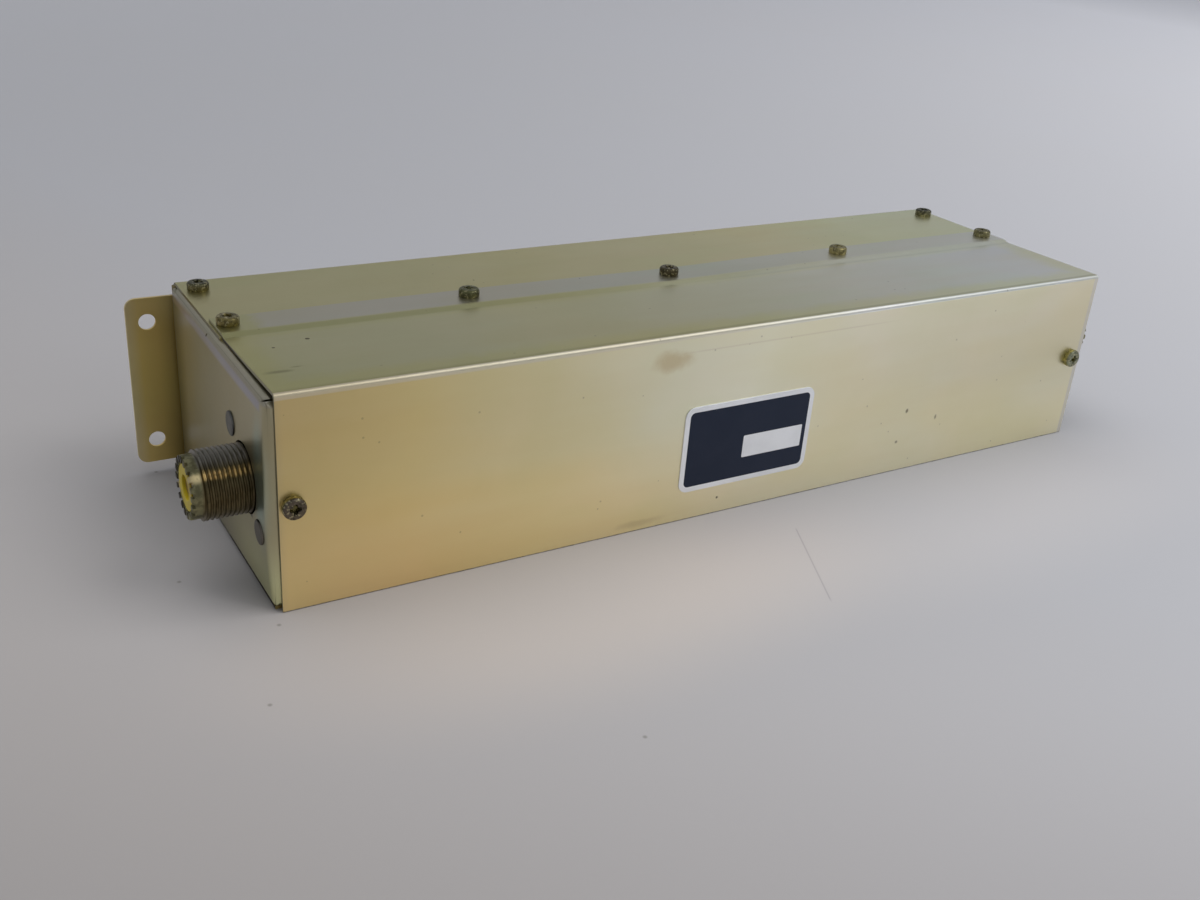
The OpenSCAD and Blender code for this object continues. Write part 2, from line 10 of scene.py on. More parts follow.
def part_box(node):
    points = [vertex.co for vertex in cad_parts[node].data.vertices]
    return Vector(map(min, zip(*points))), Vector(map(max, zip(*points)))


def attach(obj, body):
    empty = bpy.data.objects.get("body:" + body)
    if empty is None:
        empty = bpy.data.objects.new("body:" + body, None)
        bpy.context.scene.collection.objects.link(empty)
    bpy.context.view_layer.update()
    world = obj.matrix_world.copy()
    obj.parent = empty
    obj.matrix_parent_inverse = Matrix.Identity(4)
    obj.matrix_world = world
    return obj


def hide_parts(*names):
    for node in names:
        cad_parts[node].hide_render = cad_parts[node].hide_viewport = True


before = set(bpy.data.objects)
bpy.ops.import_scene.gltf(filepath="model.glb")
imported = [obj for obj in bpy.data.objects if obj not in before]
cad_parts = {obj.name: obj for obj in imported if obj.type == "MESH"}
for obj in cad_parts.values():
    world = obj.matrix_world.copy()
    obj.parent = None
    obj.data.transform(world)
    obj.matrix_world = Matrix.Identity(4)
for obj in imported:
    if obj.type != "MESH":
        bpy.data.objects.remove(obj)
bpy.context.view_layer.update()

bl_info = {
    "name": "Low pass filter dresser",
    "version": (1, 0, 0),
    "blender": (4, 5, 0),
    "location": "3D View > Sidebar > Filter",
    "description": "Gives a packed low pass filter its folded sheets, threads, screws, label and finishes",
    "category": "Object",
}

MM = 0.001
BODY = "root"
COVER_LOW, COVER_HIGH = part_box("cover")
CHASSIS_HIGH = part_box("chassis")[1]
PLATE_LOW, PLATE_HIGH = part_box("label_plate")
BOX_HALF = -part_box("end_plate_left")[0].x
SHEET = COVER_HIGH.z - CHASSIS_HIGH.z
# From the outer screws to the end plates' outer faces
SCREW_EDGE = 5.2 * MM
# How much further in the top sheets end at the left than in the CAD model
LEFT_SHORT = 0.55 * MM
# How far the seam has sunk, and the left end plate has been pulled out, at most
SEAM_SAG, PLATE_PULL = 0.45 * MM, 0.95 * MM


# Node trees


def maths(operation, swapped=False):
    """A method that adds a Math node to a reading."""

    def run(self, *others):
        values = (*others, self) if swapped else (self, *others)
        return self.graph.node("ShaderNodeMath", values, operation=operation)

    return run


class Reading:
    """One output of a node, which takes part in Python arithmetic by adding Math nodes."""

    def __init__(self, graph, socket):
        self.graph = graph
        self.socket = socket

    __add__ = __radd__ = maths("ADD")
    __sub__ = maths("SUBTRACT")
    __rsub__ = maths("SUBTRACT", swapped=True)
    __mul__ = maths("MULTIPLY")
    __truediv__ = maths("DIVIDE")
    __lt__ = maths("LESS_THAN")
    __gt__ = maths("GREATER_THAN")
    size = maths("ABSOLUTE")
    sign = maths("SIGN")
    root = maths("SQRT")
    part = maths("FRACT")
    least = maths("MINIMUM")
    most = maths("MAXIMUM")
    angle = maths("ARCTAN2")

    def span(self, start, end, low=0.0, high=1.0, smooth=True):
        """Goes from low to high as the reading goes from start to end, and stays there."""
        kind = "SMOOTHSTEP" if smooth else "LINEAR"
        sockets = {"Value": self, "From Min": start, "From Max": end, "To Min": low, "To Max": high}
        return self.graph.node("ShaderNodeMapRange", sockets, interpolation_type=kind)


class Graph:
    """A node tree that is filled by calls."""

    def __init__(self, tree):
        self.tree = tree

    def node(self, kind, sockets=(), output=0, stops=None, **settings):
        """Adds a node: first its settings, then the values or links of its sockets."""
        made = self.tree.nodes.new(kind)
        for name, value in settings.items():
            setattr(made, name, value)
        if stops:
            ramp = made.color_ramp
            while len(ramp.elements) < len(stops):
                ramp.elements.new(1.0)
            for element, (place, colour) in zip(ramp.elements, stops):
                element.position = place
                element.color = colour
        pairs = sockets.items() if isinstance(sockets, dict) else enumerate(sockets)
        for key, value in pairs:
            if isinstance(value, Reading):
                self.tree.links.new(value.socket, made.inputs[key])
            elif value is not None:
                made.inputs[key].default_value = value
        if isinstance(output, tuple):
            return [Reading(self, made.outputs[k]) for k in output]
        return Reading(self, made.outputs[output]) if made.outputs else None

    def split(self, vector):
        return self.node("ShaderNodeSeparateXYZ", [vector], output=(0, 1, 2))

    def join(self, x, y, z):
        return self.node("ShaderNodeCombineXYZ", [x, y, z])

    def vectors(self, operation, first, second):
        return self.node("ShaderNodeVectorMath", [first, second], operation=operation)

    def noise(self, vector, scale, detail=3.0, roughness=0.5, distortion=0.0):
        """Noise of one scale, or of a scale for each axis."""
        if isinstance(scale, tuple):
            vector, scale = self.vectors("MULTIPLY", vector, scale), 1.0
        sockets = {
            "Vector": vector, "Scale": scale, "Detail": detail,
            "Roughness": roughness, "Distortion": distortion,
        }
        return self.node("ShaderNodeTexNoise", sockets)

    def mix(self, share, first, second, blend="MIX"):
        """A blend of two colours, each a reading or its red, green and blue."""
        first, second = [c if isinstance(c, Reading) else (*c, 1.0) for c in (first, second)]
        sockets = {0: share, 6: first, 7: second}
        return self.node("ShaderNodeMix", sockets, 2, data_type="RGBA", blend_type=blend)

    def lay(self, colour, *layers):
        """Lays tints over a colour, one after the other. Each has a share, and a blend if it isn't a mix."""
        for share, tint, *blend in layers:
            colour = self.mix(share, colour, tint, *blend)
        return colour

    def ramp(self, share, *colours):
        """Colours spread evenly over a share from 0 to 1."""
        stops = [(k / (len(colours) - 1), (*colour, 1.0)) for k, colour in enumerate(colours)]
        return self.node("ShaderNodeValToRGB", [share], stops=stops)


# Finishes


def new_finish(name):
    finish = bpy.data.materials.new(name)
    finish.use_nodes = True
    finish.node_tree.nodes.clear()
    graph = Graph(finish.node_tree)
    return finish, graph, graph.node("ShaderNodeTexCoord", output="Object")


def close_finish(graph, colour, roughness, metallic, bumps=(), **constants):
    """Joins the last colour, roughness and bumps to the shader."""
    sockets = {"Base Color": colour, "Roughness": roughness, "Metallic": metallic}
    for height, strength, distance in bumps:
        bump = {"Strength": strength, "Distance": distance, "Height": height, "Normal": sockets.get("Normal")}
        sockets["Normal"] = graph.node("ShaderNodeBump", bump)
    sockets.update({name.replace("_", " "): value for name, value in constants.items()})
    shader = graph.node("ShaderNodeBsdfPrincipled", sockets)
    graph.node("ShaderNodeOutputMaterial", {"Surface": shader})


def middle(node):
    """Where the centre of a CAD node's box lies in Y and Z."""
    low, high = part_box(node)
    return (low.y + high.y) / 2, (low.z + high.z) / 2


def soft_spot(graph, place, centre, reach, ragged=0.0):
    """1 in the middle of an oval spot, falling to 0 at its edge."""
    offset = graph.vectors("ADD", place, [-c for c in centre])
    shares = graph.vectors("MULTIPLY", offset, [1 / r for r in reach])
    distance = graph.node("ShaderNodeVectorMath", [shares], "Value", operation="LENGTH")
    if ragged:
        distance = distance + (graph.noise(place, 220.0, 4.0, 0.6) - 0.5) * ragged
    return distance.span(1.0, 0.25)


def specks(graph, place, spacing, size, share, seed):
    """Scattered dots: 1 inside a dot and 0 elsewhere. share is the part of the cells that hold one."""
    moved = graph.vectors("ADD", place, (seed * 0.37, seed * 0.71, seed * 0.13))
    cells = {"Vector": moved, "Scale": 1 / spacing, "Randomness": 1.0}
    distance, colour = graph.node("ShaderNodeTexVoronoi", cells, ("Distance", "Color"))
    draw, other, _ = graph.split(colour)
    reach = other.span(0.0, 1.0, 0.4 * size / spacing, size / spacing)
    return (distance < reach) * (draw < share)


def chromate_finish(name, palette, rough=0.36, marks=()):
    """Yellow chromate on rolled sheet: a palette's tints with clouds, streaks, marks, specks, and raw ends
    painted dark as shade of the gaps beside them.
    """
    look = bpy.context.scene.filter_sheet
    finish, graph, place = new_finish(name)
    x, y, z = graph.split(place)
    cloud = graph.noise(place, 26.0, 4.0, 0.55, 0.4)
    streak = graph.noise(place, (22.0, 160.0, 160.0), 3.0, 0.55)
    drift = graph.noise(place, (9.0, 26.0, 26.0), 3.0, 0.55) - 0.5
    patch = graph.noise(place, (14.0, 34.0, 34.0), 2.0)
    along = x / (2 * BOX_HALF) + 0.5 + drift * 0.16
    spots = [
        (soft_spot(graph, place, centre, reach, 0.9) * strength, shade)
        for centre, reach, shade, strength in marks
    ]
    dark = specks(graph, place, 0.009, 0.0006, look.speck_share, 1) * 0.8
    pale = specks(graph, place, 0.017, 0.0006, look.speck_share, 5) * 0.4
    fleck = specks(graph, place, 0.0034, 0.0003, 0.2, 9) * 0.3
    facing = graph.split(graph.node("ShaderNodeNewGeometry", output="True Normal"))[0].size()
    # Raw edges facing along X are painted nearly black, a painted shade of the gaps beside them; at the lip's
    # rear edge, the top brim and the front face they keep more of an olive grey.
    sheared = facing.span(0.6, 0.9) * (x.size() < BOX_HALF - 0.4 * MM)
    lip, brim = COVER_HIGH.y - 10.5 * MM, COVER_HIGH.z - 0.55 * MM
    bare = y.span(lip - 1.0 * MM, lip) * 0.6
    bare = bare.most(z.span(brim - 0.2 * MM, brim) * 0.8)
    bare = bare.most(y.span(COVER_LOW.y + 0.55 * MM, COVER_LOW.y + 0.4 * MM) * 0.8)
    colour = graph.lay(
        palette(graph, place, along, x, y, z),
        (cloud.span(0.35, 0.7) * look.bloom, look.cloud_tint, "MULTIPLY"),
        (patch.span(0.48, 0.66) * 0.5, (1.0, 0.965, 0.85), "MULTIPLY"),
        (patch.span(0.46, 0.32) * 0.5, (0.95, 1.0, 0.93), "MULTIPLY"),
        (streak.span(0.3, 0.7) * look.streaks, look.streak_tint, "MULTIPLY"),
        *spots,
        (dark, (0.10, 0.08, 0.05)),
        (pale, (0.85, 0.83, 0.75)),
        (fleck, (0.22, 0.17, 0.10)),
        (sheared, graph.mix(bare, (0.045, 0.033, 0.018), (0.42, 0.40, 0.27))),
    )
    fine = graph.noise(place, (160.0, 1500.0, 1500.0), 2.0)
    dents = graph.noise(place, (16.0, 16.0, 16.0), 1.0)
    roughness = rough + (cloud - 0.5) * 0.06 + (fine - 0.5) * 0.05 + dark * 0.3
    close_finish(graph, colour, roughness, 1.0, [(dents, 0.25, 0.0016), (fine, 0.10, 0.00003)])
    return finish


def cover_palette(graph, place, along, x, y, z):
    """Tan to straw on the front, green to silver on the top, a silvery lip, yellow towards the edges, and
    painted light low on the front, in the fold and at the front bend.
    """
    left, right, front = COVER_LOW.x, COVER_HIGH.x, COVER_LOW.y
    fold = COVER_HIGH.y - 10.8 * MM
    ragged = (graph.noise(place, 150.0, 4.0, 0.6) - 0.5) * 0.006
    face = graph.ramp(
        along, (0.77, 0.61, 0.30), (0.85, 0.715, 0.365), (0.87, 0.78, 0.48), (0.93, 0.90, 0.68),
        (1.0, 0.97, 0.767), (0.97, 0.905, 0.69), (0.91, 0.845, 0.63), (0.86, 0.80, 0.59), (0.82, 0.76, 0.58),
    )
    # Low on the front, paler and warmer: a painted reflection of the lit floor in front.
    foot = graph.ramp(
        along, (0.96, 0.75, 0.37), (0.98, 0.76, 0.38), (0.96, 0.81, 0.42), (0.98, 0.85, 0.53),
        (1.0, 0.92, 0.67), (1.0, 0.94, 0.68), (1.0, 0.94, 0.69), (1.0, 0.94, 0.66), (1.0, 0.94, 0.68),
    )
    worn = x.span(-0.030, -0.015) * x.span(0.050, 0.030) * z.span(0.0471, 0.0473) * z.span(0.0477, 0.0475)
    face = graph.lay(
        face,
        (z.span(0.028, 0.004, smooth=False), foot),
        (x.span(left + 2.4 * MM, left + 0.6 * MM) * 0.12, (0.42, 0.40, 0.36)),
        ((x + ragged * 0.05).span(right - 1.8 * MM, right - 1.3 * MM) * 0.6, (0.70, 0.68, 0.70)),
        (worn * 0.2, (0.62, 0.50, 0.36)),
    )
    # The lip and the top below grow paler towards the right: partly the chromate's own colour, partly a
    # painted reflection of the brighter room on that side.
    lip = graph.ramp(
        along, (0.50, 0.475, 0.365), (0.60, 0.565, 0.475), (0.72, 0.71, 0.59), (0.89, 0.87, 0.73),
        (1.0, 0.98, 0.92),
    )
    lip = graph.mix((x + ragged).span(left + 12 * MM, left + 8 * MM), lip, (0.50, 0.48, 0.25))
    margin = (x + ragged).span(left + 10 * MM, left + 2 * MM)
    margin = margin.most((x + ragged).span(right - 11 * MM, right - 3 * MM))
    margin = margin.most((y + ragged).span(front + 9 * MM, front + 3 * MM))
    margin = margin.most((y + ragged * 0.5).span(fold - 5 * MM, fold - 2 * MM) * 0.5)
    crease = y.span(fold - 2.8 * MM, fold - 1.6 * MM) * y.span(fold + 0.9 * MM, fold - 0.2 * MM)
    crease = crease * along.span(0.20, 0.38, 0.45, 0.12).most(along.span(0.45, 0.60, 0.0, 0.38))
    fold_shade = graph.mix(along.span(0.40, 0.65), (0.50, 0.50, 0.27), (0.72, 0.72, 0.62))
    # The front bend, worn paler and painted lighter as a highlight: straw at the left, white at the right.
    burnish_and_highlight = graph.ramp(along, (0.80, 0.70, 0.50), (0.86, 0.80, 0.64), (1.0, 1.0, 0.95), (0.92, 0.94, 0.91))
    top = graph.ramp(
        along, (0.515, 0.49, 0.27), (0.59, 0.555, 0.34), (0.70, 0.66, 0.42), (0.81, 0.785, 0.565),
        (0.95, 0.92, 0.77), (1.0, 1.0, 0.91), (1.0, 1.0, 1.0),
    )
    top = graph.lay(
        top,
        (margin * 0.6, (0.99, 0.98, 0.68), "MULTIPLY"),
        ((y + ragged * 0.12).span(fold + 0.1 * MM, fold + 1.5 * MM), lip),
        (crease, fold_shade),
        # A painted shade just behind the front bend: a darker reflection of the room.
        (y.span(front + 2.4 * MM, front + 1.2 * MM) * 0.35, (0.40, 0.36, 0.17)),
        (y.span(front + 0.9 * MM, front + 0.6 * MM), burnish_and_highlight),
    )
    return graph.mix(z.span(COVER_HIGH.z - 1.3 * MM, COVER_HIGH.z - 0.9 * MM), face, top)


def chassis_palette(graph, place, along, x, y, z):
    """Green to straw on the top, ochre on the rear wall and the ears, with painted shade on the ears next to
    the end plates.
    """
    outwards = x.size().span(BOX_HALF - 0.1 * MM, BOX_HALF + 12.4 * MM, smooth=False)
    # The ears grow darker towards the end plate: painted shade of the inside corner.
    ear = graph.ramp(outwards, (0.50, 0.37, 0.13), (0.78, 0.58, 0.21), (0.90, 0.69, 0.26), (0.90, 0.80, 0.54))
    # The top grows paler towards the right: partly the chromate's own colour, partly a painted reflection of
    # the brighter room on that side.
    top = graph.ramp(
        along, (0.54, 0.493, 0.26), (0.61, 0.56, 0.31), (0.68, 0.62, 0.335), (0.79, 0.72, 0.43),
        (0.92, 0.84, 0.51), (0.98, 0.97, 0.64), (1.0, 1.0, 0.72),
    )
    return graph.lay(
        ear,
        (x.size() < BOX_HALF - 0.5 * MM, (0.62, 0.48, 0.18)),
        (z.span(0.038, 0.047) * 0.3, (0.96, 0.80, 0.42)),
        (z.span(CHASSIS_HIGH.z - 1.0 * MM, CHASSIS_HIGH.z - 0.5 * MM), top),
    )


def plate_palette(graph, place, along, x, y, z):
    """Dull bronze: grey at the rear and darkest at its edge as painted shade, a painted greenish reflection
    by the socket, a painted reflection of the floor pale low in front, violet at the upper bend.
    """
    web = -BOX_HALF
    # Darkest at the rear edge: painted shade of the corner where the plate meets the chassis.
    back = graph.ramp(
        y.span(0.038, -0.036, smooth=False), (0.245, 0.255, 0.215), (0.42, 0.42, 0.35), (0.38, 0.36, 0.25),
        (0.37, 0.34, 0.215), (0.40, 0.36, 0.22), (0.44, 0.40, 0.25), (0.49, 0.45, 0.30),
    )
    # A painted reflection: greenish grey between the socket and the front bend, where the plate mirrors the
    # bluish room on the left.
    green = soft_spot(graph, place, (web, -0.034, 0.030), (0.01, 0.0055, 0.020))
    nick = soft_spot(graph, place, (web, -0.0272, 0.0192), (0.01, 0.0016, 0.0010), 0.5)
    return graph.lay(
        back,
        # Pale low in front: a painted reflection of the lit floor.
        (z.span(0.022, 0.002) * y.span(-0.002, -0.034), (0.74, 0.74, 0.44)),
        (green * 0.8, (0.46, 0.58, 0.52)),
        (nick * 0.8, (0.05, 0.04, 0.03)),
        (z.span(0.0466, 0.0478) * y.span(-0.0360, -0.0345), (0.43, 0.42, 0.45)),
        (z.span(0.0488, 0.0494), (0.46, 0.43, 0.33)),
    )


def socket_finish():
    """Tarnished, grimy plating on a turned barrel, with painted light: a gold-coloured highlight band, a
    greyer top, shade by the panel and on the rim's far side, and a glint on the nose.
    """
    finish, graph, place = new_finish("plated_barrel")
    x, y, z = graph.split(place)
    axis_y, axis_z = middle("socket_shell_left")
    dy, dz = y - axis_y, z - axis_z
    radius = (dy * dy + dz * dz).root()
    grime = graph.noise(place, 420.0, 5.0, 0.6)
    fine_mottle = graph.noise(place, 900.0, 3.0, 0.5)
    away = x.size() - BOX_HALF
    level = (dy * 0.5 + dz * 0.87) / radius + (grime - 0.5) * 0.12
    # A painted highlight: a band where the barrel faces the window, broken into strokes by the mottle.
    glint_band = level.span(-0.03, 0.12) * level.span(0.38, 0.19) * fine_mottle.span(0.38, 0.56, 0.4, 1.0)
    crest = radius.span(0.00755, 0.0079)
    nose = away.span(0.0112, 0.0120)
    rim = away.span(0.01375, 0.0139)
    cream = graph.mix(grime.span(0.4, 0.62), (0.29, 0.27, 0.145), (0.16, 0.15, 0.082))
    # A painted glint on the nose where it faces the window.
    cream = graph.mix(level.span(-0.05, 0.10) * level.span(0.34, 0.22), cream, (0.66, 0.55, 0.30))
    colour = graph.lay(
        (0.10, 0.080, 0.040),
        (grime.span(0.35, 0.7), (0.165, 0.132, 0.066)),
        # Greyer on the upper side: a painted reflection of the room above.
        (level.span(0.30, 0.62), (0.22, 0.205, 0.175)),
        # Lighter grooves on the lower side: a painted fill that evens out their shade.
        ((1 - crest) * level.span(0.1, -0.1) * 0.6, (0.20, 0.155, 0.08)),
        # The painted highlight, gold-coloured and strongest on the crests.
        (glint_band * (crest * 0.85 + 0.15), (0.72, 0.50, 0.20)),
        # Darker next to the panel: painted shade where the barrel meets the plate.
        (away.span(0.0035, 0.0005) * 0.6, (0.05, 0.036, 0.02)),
        (nose, cream),
        # The rim painted dark on its far side: shade on the teeth that face away from the light.
        (rim * dy.span(-0.004, 0.001), (0.035, 0.030, 0.022)),
        (fine_mottle.span(0.60, 0.8) * 0.5, (0.06, 0.05, 0.03)),
    )
    roughness = 0.30 + grime.span(0.3, 0.8) * 0.18 + nose * 0.06
    close_finish(graph, colour, roughness, 1.0, [(fine_mottle, 0.3, 0.00004)])
    return finish


def screw_finish():
    """Olive zinc, of another age from screw to screw, with grime, painted shade in the recess and small
    painted glints.
    """
    finish, graph, place = new_finish("plated_screw")
    x, y, z = graph.split(place)
    grime = graph.noise(place, 900.0, 5.0, 0.65)
    glint_noise = graph.noise(place, 1500.0, 2.0, 0.5)
    age = x / (2 * BOX_HALF) + 0.5
    aged = graph.ramp(
        age, (0.28, 0.23, 0.09), (0.17, 0.17, 0.08), (0.11, 0.09, 0.05), (0.44, 0.38, 0.17),
        (0.24, 0.22, 0.11),
    )
    rear = y.span(0.015, 0.02)
    crown = z.span(CHASSIS_HIGH.z + 1.2 * MM, CHASSIS_HIGH.z + 1.9 * MM)
    face = y.span(COVER_LOW.y - 1.2 * MM, COVER_LOW.y - 1.6 * MM)
    left = graph.mix(face, (0.30, 0.26, 0.10), (0.135, 0.112, 0.085))
    right = graph.mix(face, (0.46, 0.42, 0.15), (0.30, 0.31, 0.21))
    hollow_shade = graph.node("ShaderNodeNewGeometry", output="Pointiness")
    colour = graph.lay(
        aged,
        (rear * (crown * 0.4 + 0.4), (0.055, 0.062, 0.045)),
        (y.span(COVER_LOW.y + 1 * MM, COVER_LOW.y), graph.mix(age.span(0.3, 0.7), left, right)),
        (grime.span(0.45, 0.60) * 0.6, (0.045, 0.042, 0.025)),
        # Small painted glints.
        (glint_noise.span(0.54, 0.64) * 0.6, (0.60, 0.54, 0.32)),
        # Painted shade in the hollows: the cross recess goes nearly black.
        (hollow_shade.span(0.47, 0.40) * 0.9, (0.02, 0.016, 0.010)),
    )
    roughness = 0.34 + grime.span(0.4, 0.8) * 0.2
    close_finish(graph, colour, roughness, 1.0, [(grime, 0.5, 0.00008)])
    return finish


def rivet_finish():
    """Plain dull aluminium, browner low down."""
    finish, graph, place = new_finish("dull_rivet")
    low = graph.split(place)[2].span(0.030, 0.015) * 0.5
    cloud = graph.noise(place, 500.0, 4.0, 0.6)
    colour = graph.mix(cloud.span(0.35, 0.7), (0.11, 0.112, 0.105), (0.19, 0.19, 0.175))
    colour = graph.mix(low, colour, (0.16, 0.13, 0.09))
    close_finish(graph, colour, 0.42 + (cloud - 0.5) * 0.2, 1.0, [(cloud, 0.25, 0.00005)])
    return finish


def insulator_finish():
    """Moulded yellow plastic with a few dirty specks, and painted shade on its upper half towards the front.
    """
    finish, graph, place = new_finish("yellow_moulding")
    _, y, z = graph.split(place)
    cloud = graph.noise(place, 380.0, 4.0, 0.6)
    low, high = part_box("socket_insulator_left")
    # Painted shade on the upper half towards the front, which lies deep in the shell.
    front = y.span((low.y + high.y) / 2 - 1 * MM, low.y + 1 * MM) * z.span(low.z + 3 * MM, high.z - 2 * MM)
    colour = graph.lay(
        (0.50, 0.38, 0.015),
        (cloud.span(0.3, 0.75), (0.62, 0.50, 0.03)),
        (front * 0.75, (0.20, 0.12, 0.012)),
        (specks(graph, place, 0.0016, 0.0002, 0.3, 3) * 0.6, (0.12, 0.08, 0.02)),
    )
    close_finish(graph, colour, 0.45 + (cloud - 0.5) * 0.2, 0.0, [(cloud, 0.2, 0.00005)])
    return finish


def cloudy_metal(name, scale, limits, first, second, rough, uneven, relief):
    """Plain tarnished metal in two tones."""
    finish, graph, place = new_finish(name)
    cloud = graph.noise(place, scale, 4.0, 0.6)
    colour = graph.mix(cloud.span(*limits), first, second)
    close_finish(graph, colour, rough + (cloud - 0.5) * uneven, 1.0, [(cloud, 0.2, relief)])
    return finish


def ceramic_finish(name, body, shade, rough):
    """Fired ceramic in two tones, with a fine grain."""
    finish, graph, place = new_finish(name)
    cloud = graph.noise(place, 130.0, 4.0, 0.55)
    grain = graph.noise(place, 1600.0, 2.0, 0.5)
    colour = graph.mix(cloud.span(0.35, 0.75), body, shade)
    close_finish(graph, colour, rough + (cloud - 0.5) * 0.15, 0.0, [(grain, 0.15, 0.00004)])
    return finish


def rounded_mask(graph, across, up, half_w, half_h, corner):
    """1 inside a rectangle with round corners, with an edge as sharp as print."""
    dx = (across.size() - (half_w - corner)).most(0.0)
    dz = (up.size() - (half_h - corner)).most(0.0)
    return (dx * dx + dz * dz).root().span(corner + 0.00004, corner - 0.00004)


def label_finish():
    """Dark blue print on a silver plate: a bare border, a bare window and nothing written."""
    look = bpy.context.scene.filter_label
    finish, graph, place = new_finish("label_print")
    x, _, z = graph.split(place)
    centre = (PLATE_LOW + PLATE_HIGH) / 2
    half_w = (PLATE_HIGH.x - PLATE_LOW.x) / 2 - look.border
    half_h = (PLATE_HIGH.z - PLATE_LOW.z) / 2 - look.border
    field = rounded_mask(graph, x - centre.x, z - centre.z, half_w, half_h, look.field_corner)
    (x_low, z_low), (x_high, z_high) = look.window_low, look.window_high
    across, up = x - (x_low + x_high) / 2, z - (z_low + z_high) / 2
    window = rounded_mask(graph, across, up, (x_high - x_low) / 2, (z_high - z_low) / 2, 0.0003)
    ink = field * (1 - window)
    cloud = graph.noise(place, 90.0, 4.0, 0.6)
    fine = graph.noise(place, (1800.0, 100.0, 160.0), 2.0)
    silver = graph.mix(cloud.span(0.3, 0.75), (0.84, 0.86, 0.89), (0.75, 0.77, 0.80))
    blue = graph.mix(cloud.span(0.3, 0.75), look.ink, (0.006, 0.012, 0.030))
    scuffs = specks(graph, place, 0.006, 0.0003, 0.35, 7) * 0.6
    colour = graph.mix(ink * (1 - scuffs), silver, blue)
    roughness = 0.38 + (fine - 0.5) * 0.12 - ink * 0.04
    bumps = [(fine, 0.06, 0.00003), (ink, 0.2, 0.00003)]
    close_finish(graph, colour, roughness, 0.5 - ink * 0.5, bumps, Specular_IOR_Level=0.3)
    return finish


# Meshes


def link(name, mesh, finish=None):
    piece = bpy.data.objects.new(name, mesh)
    bpy.context.scene.collection.objects.link(piece)
    if finish:
        mesh.materials.clear()
        mesh.materials.append(finish)
    return piece


def hand_over(piece, nodes):
    """Lets a finished piece stand for its CAD nodes."""
    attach(piece, BODY)
    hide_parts(*nodes)


def settle(piece):
    """Turns a piece with modifiers into a plain mesh, in place."""
    bpy.context.view_layer.update()
    seen = piece.evaluated_get(bpy.context.evaluated_depsgraph_get())
    plain = bpy.data.meshes.new_from_object(seen)
    plain.name = piece.name
    old = piece.data
    piece.modifiers.clear()
    piece.data = plain
    if old.users == 0:
        bpy.data.meshes.remove(old)


def smooth_but_sharp(mesh, degrees=34):
    """Smooth shading that stops at edges sharper than an angle."""
    bm = bmesh.new()
    bm.from_mesh(mesh)
    for face in bm.faces:
        face.smooth = True
    limit = math.radians(degrees)
    for edge in bm.edges:
        edge.smooth = not (edge.is_manifold and edge.calc_face_angle(0.0) > limit)
    bm.to_mesh(mesh)
    bm.free()


def even_normals(piece):
    """Weighs the normals by their faces, and settles the piece."""
    even = piece.modifiers.new("even_normals", "WEIGHTED_NORMAL")
    even.keep_sharp = True
    settle(piece)


def break_edges(piece, width, segments=2, degrees=38):
    """Rounds a piece's sharp edges a little, as tools and handling do."""
    bevel = piece.modifiers.new("edge_break", "BEVEL")
    bevel.width = width
    bevel.segments = segments
    bevel.limit_method = "ANGLE"
    bevel.angle_limit = math.radians(degrees)
    bevel.use_clamp_overlap = True
    bevel.miter_outer = "MITER_ARC"
    even_normals(piece)


def dip(x, y):
    """How far the seam has sunk between its middle screws."""
    along = math.cos(math.pi * min(abs(x) / (0.50 * BOX_HALF), 1.0) / 2) ** 2
    across = math.cos(math.pi * min(abs(y - 4 * MM) / (34 * MM), 1.0) / 2) ** 2
    return SEAM_SAG * along * across


def swell(y, z):
    """How far the left end plate has been pulled outwards round its socket."""
    deep = max(0.0, (CHASSIS_HIGH.y - y) / (COVER_HIGH.z * 2.05))
    tall = min(max(z / COVER_HIGH.z, 0.0), 1.0)
    return PLATE_PULL * math.sin(math.pi * min(deep, 1.0)) * math.sin(math.pi * tall) ** 0.8


def warp(piece, spacing, axes, move):
    """Cuts a piece by planes square to the named axes and moves its points by a rule."""
    bm = bmesh.new()
    bm.from_mesh(piece.data)
    for axis in axes:
        normal = Vector([float(k == axis) for k in range(3)])
        reach = max(abs(v.co[axis]) for v in bm.verts)
        for k in range(-int(reach / spacing), int(reach / spacing) + 1):
            parts = bm.verts[:] + bm.edges[:] + bm.faces[:]
            bmesh.ops.bisect_plane(bm, geom=parts, plane_co=normal * (k + 0.37) * spacing, plane_no=normal)
    for vert in bm.verts:
        vert.co += Vector(move(*vert.co))
    bm.to_mesh(piece.data)
    bm.free()
    if "custom_normal" in piece.data.attributes:
        piece.data.attributes.remove(piece.data.attributes["custom_normal"])
    smooth_but_sharp(piece.data)
    even_normals(piece)


def finished_copy(node, name, finish, width):
    """A copy of a CAD node with its facets joined and its edges broken."""
    bm = bmesh.new()
    bm.from_mesh(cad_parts[node].data)
    bmesh.ops.remove_doubles(bm, verts=bm.verts, dist=2e-6)
    bmesh.ops.dissolve_limit(
        bm, angle_limit=math.radians(0.6), verts=bm.verts, edges=bm.edges, delimit={"NORMAL"}
    )
    piece = link(name, to_mesh(bm, name), finish)
    break_edges(piece, width)
    return piece


def to_mesh(bm, name, degrees=34):
    mesh = bpy.data.meshes.new(name)
    bm.to_mesh(mesh)
    bm.free()
    smooth_but_sharp(mesh, degrees)
    return mesh


def band(bm, ring, after):
    """Faces between two closed rows of points."""
    for k in range(len(ring)):
        n = (k + 1) % len(ring)
        bm.faces.new((ring[k], ring[n], after[n], after[k]))


def round_trip(segments):
    """The angles of the points round a full turn."""
    return [2 * math.pi * k / segments for k in range(segments)]


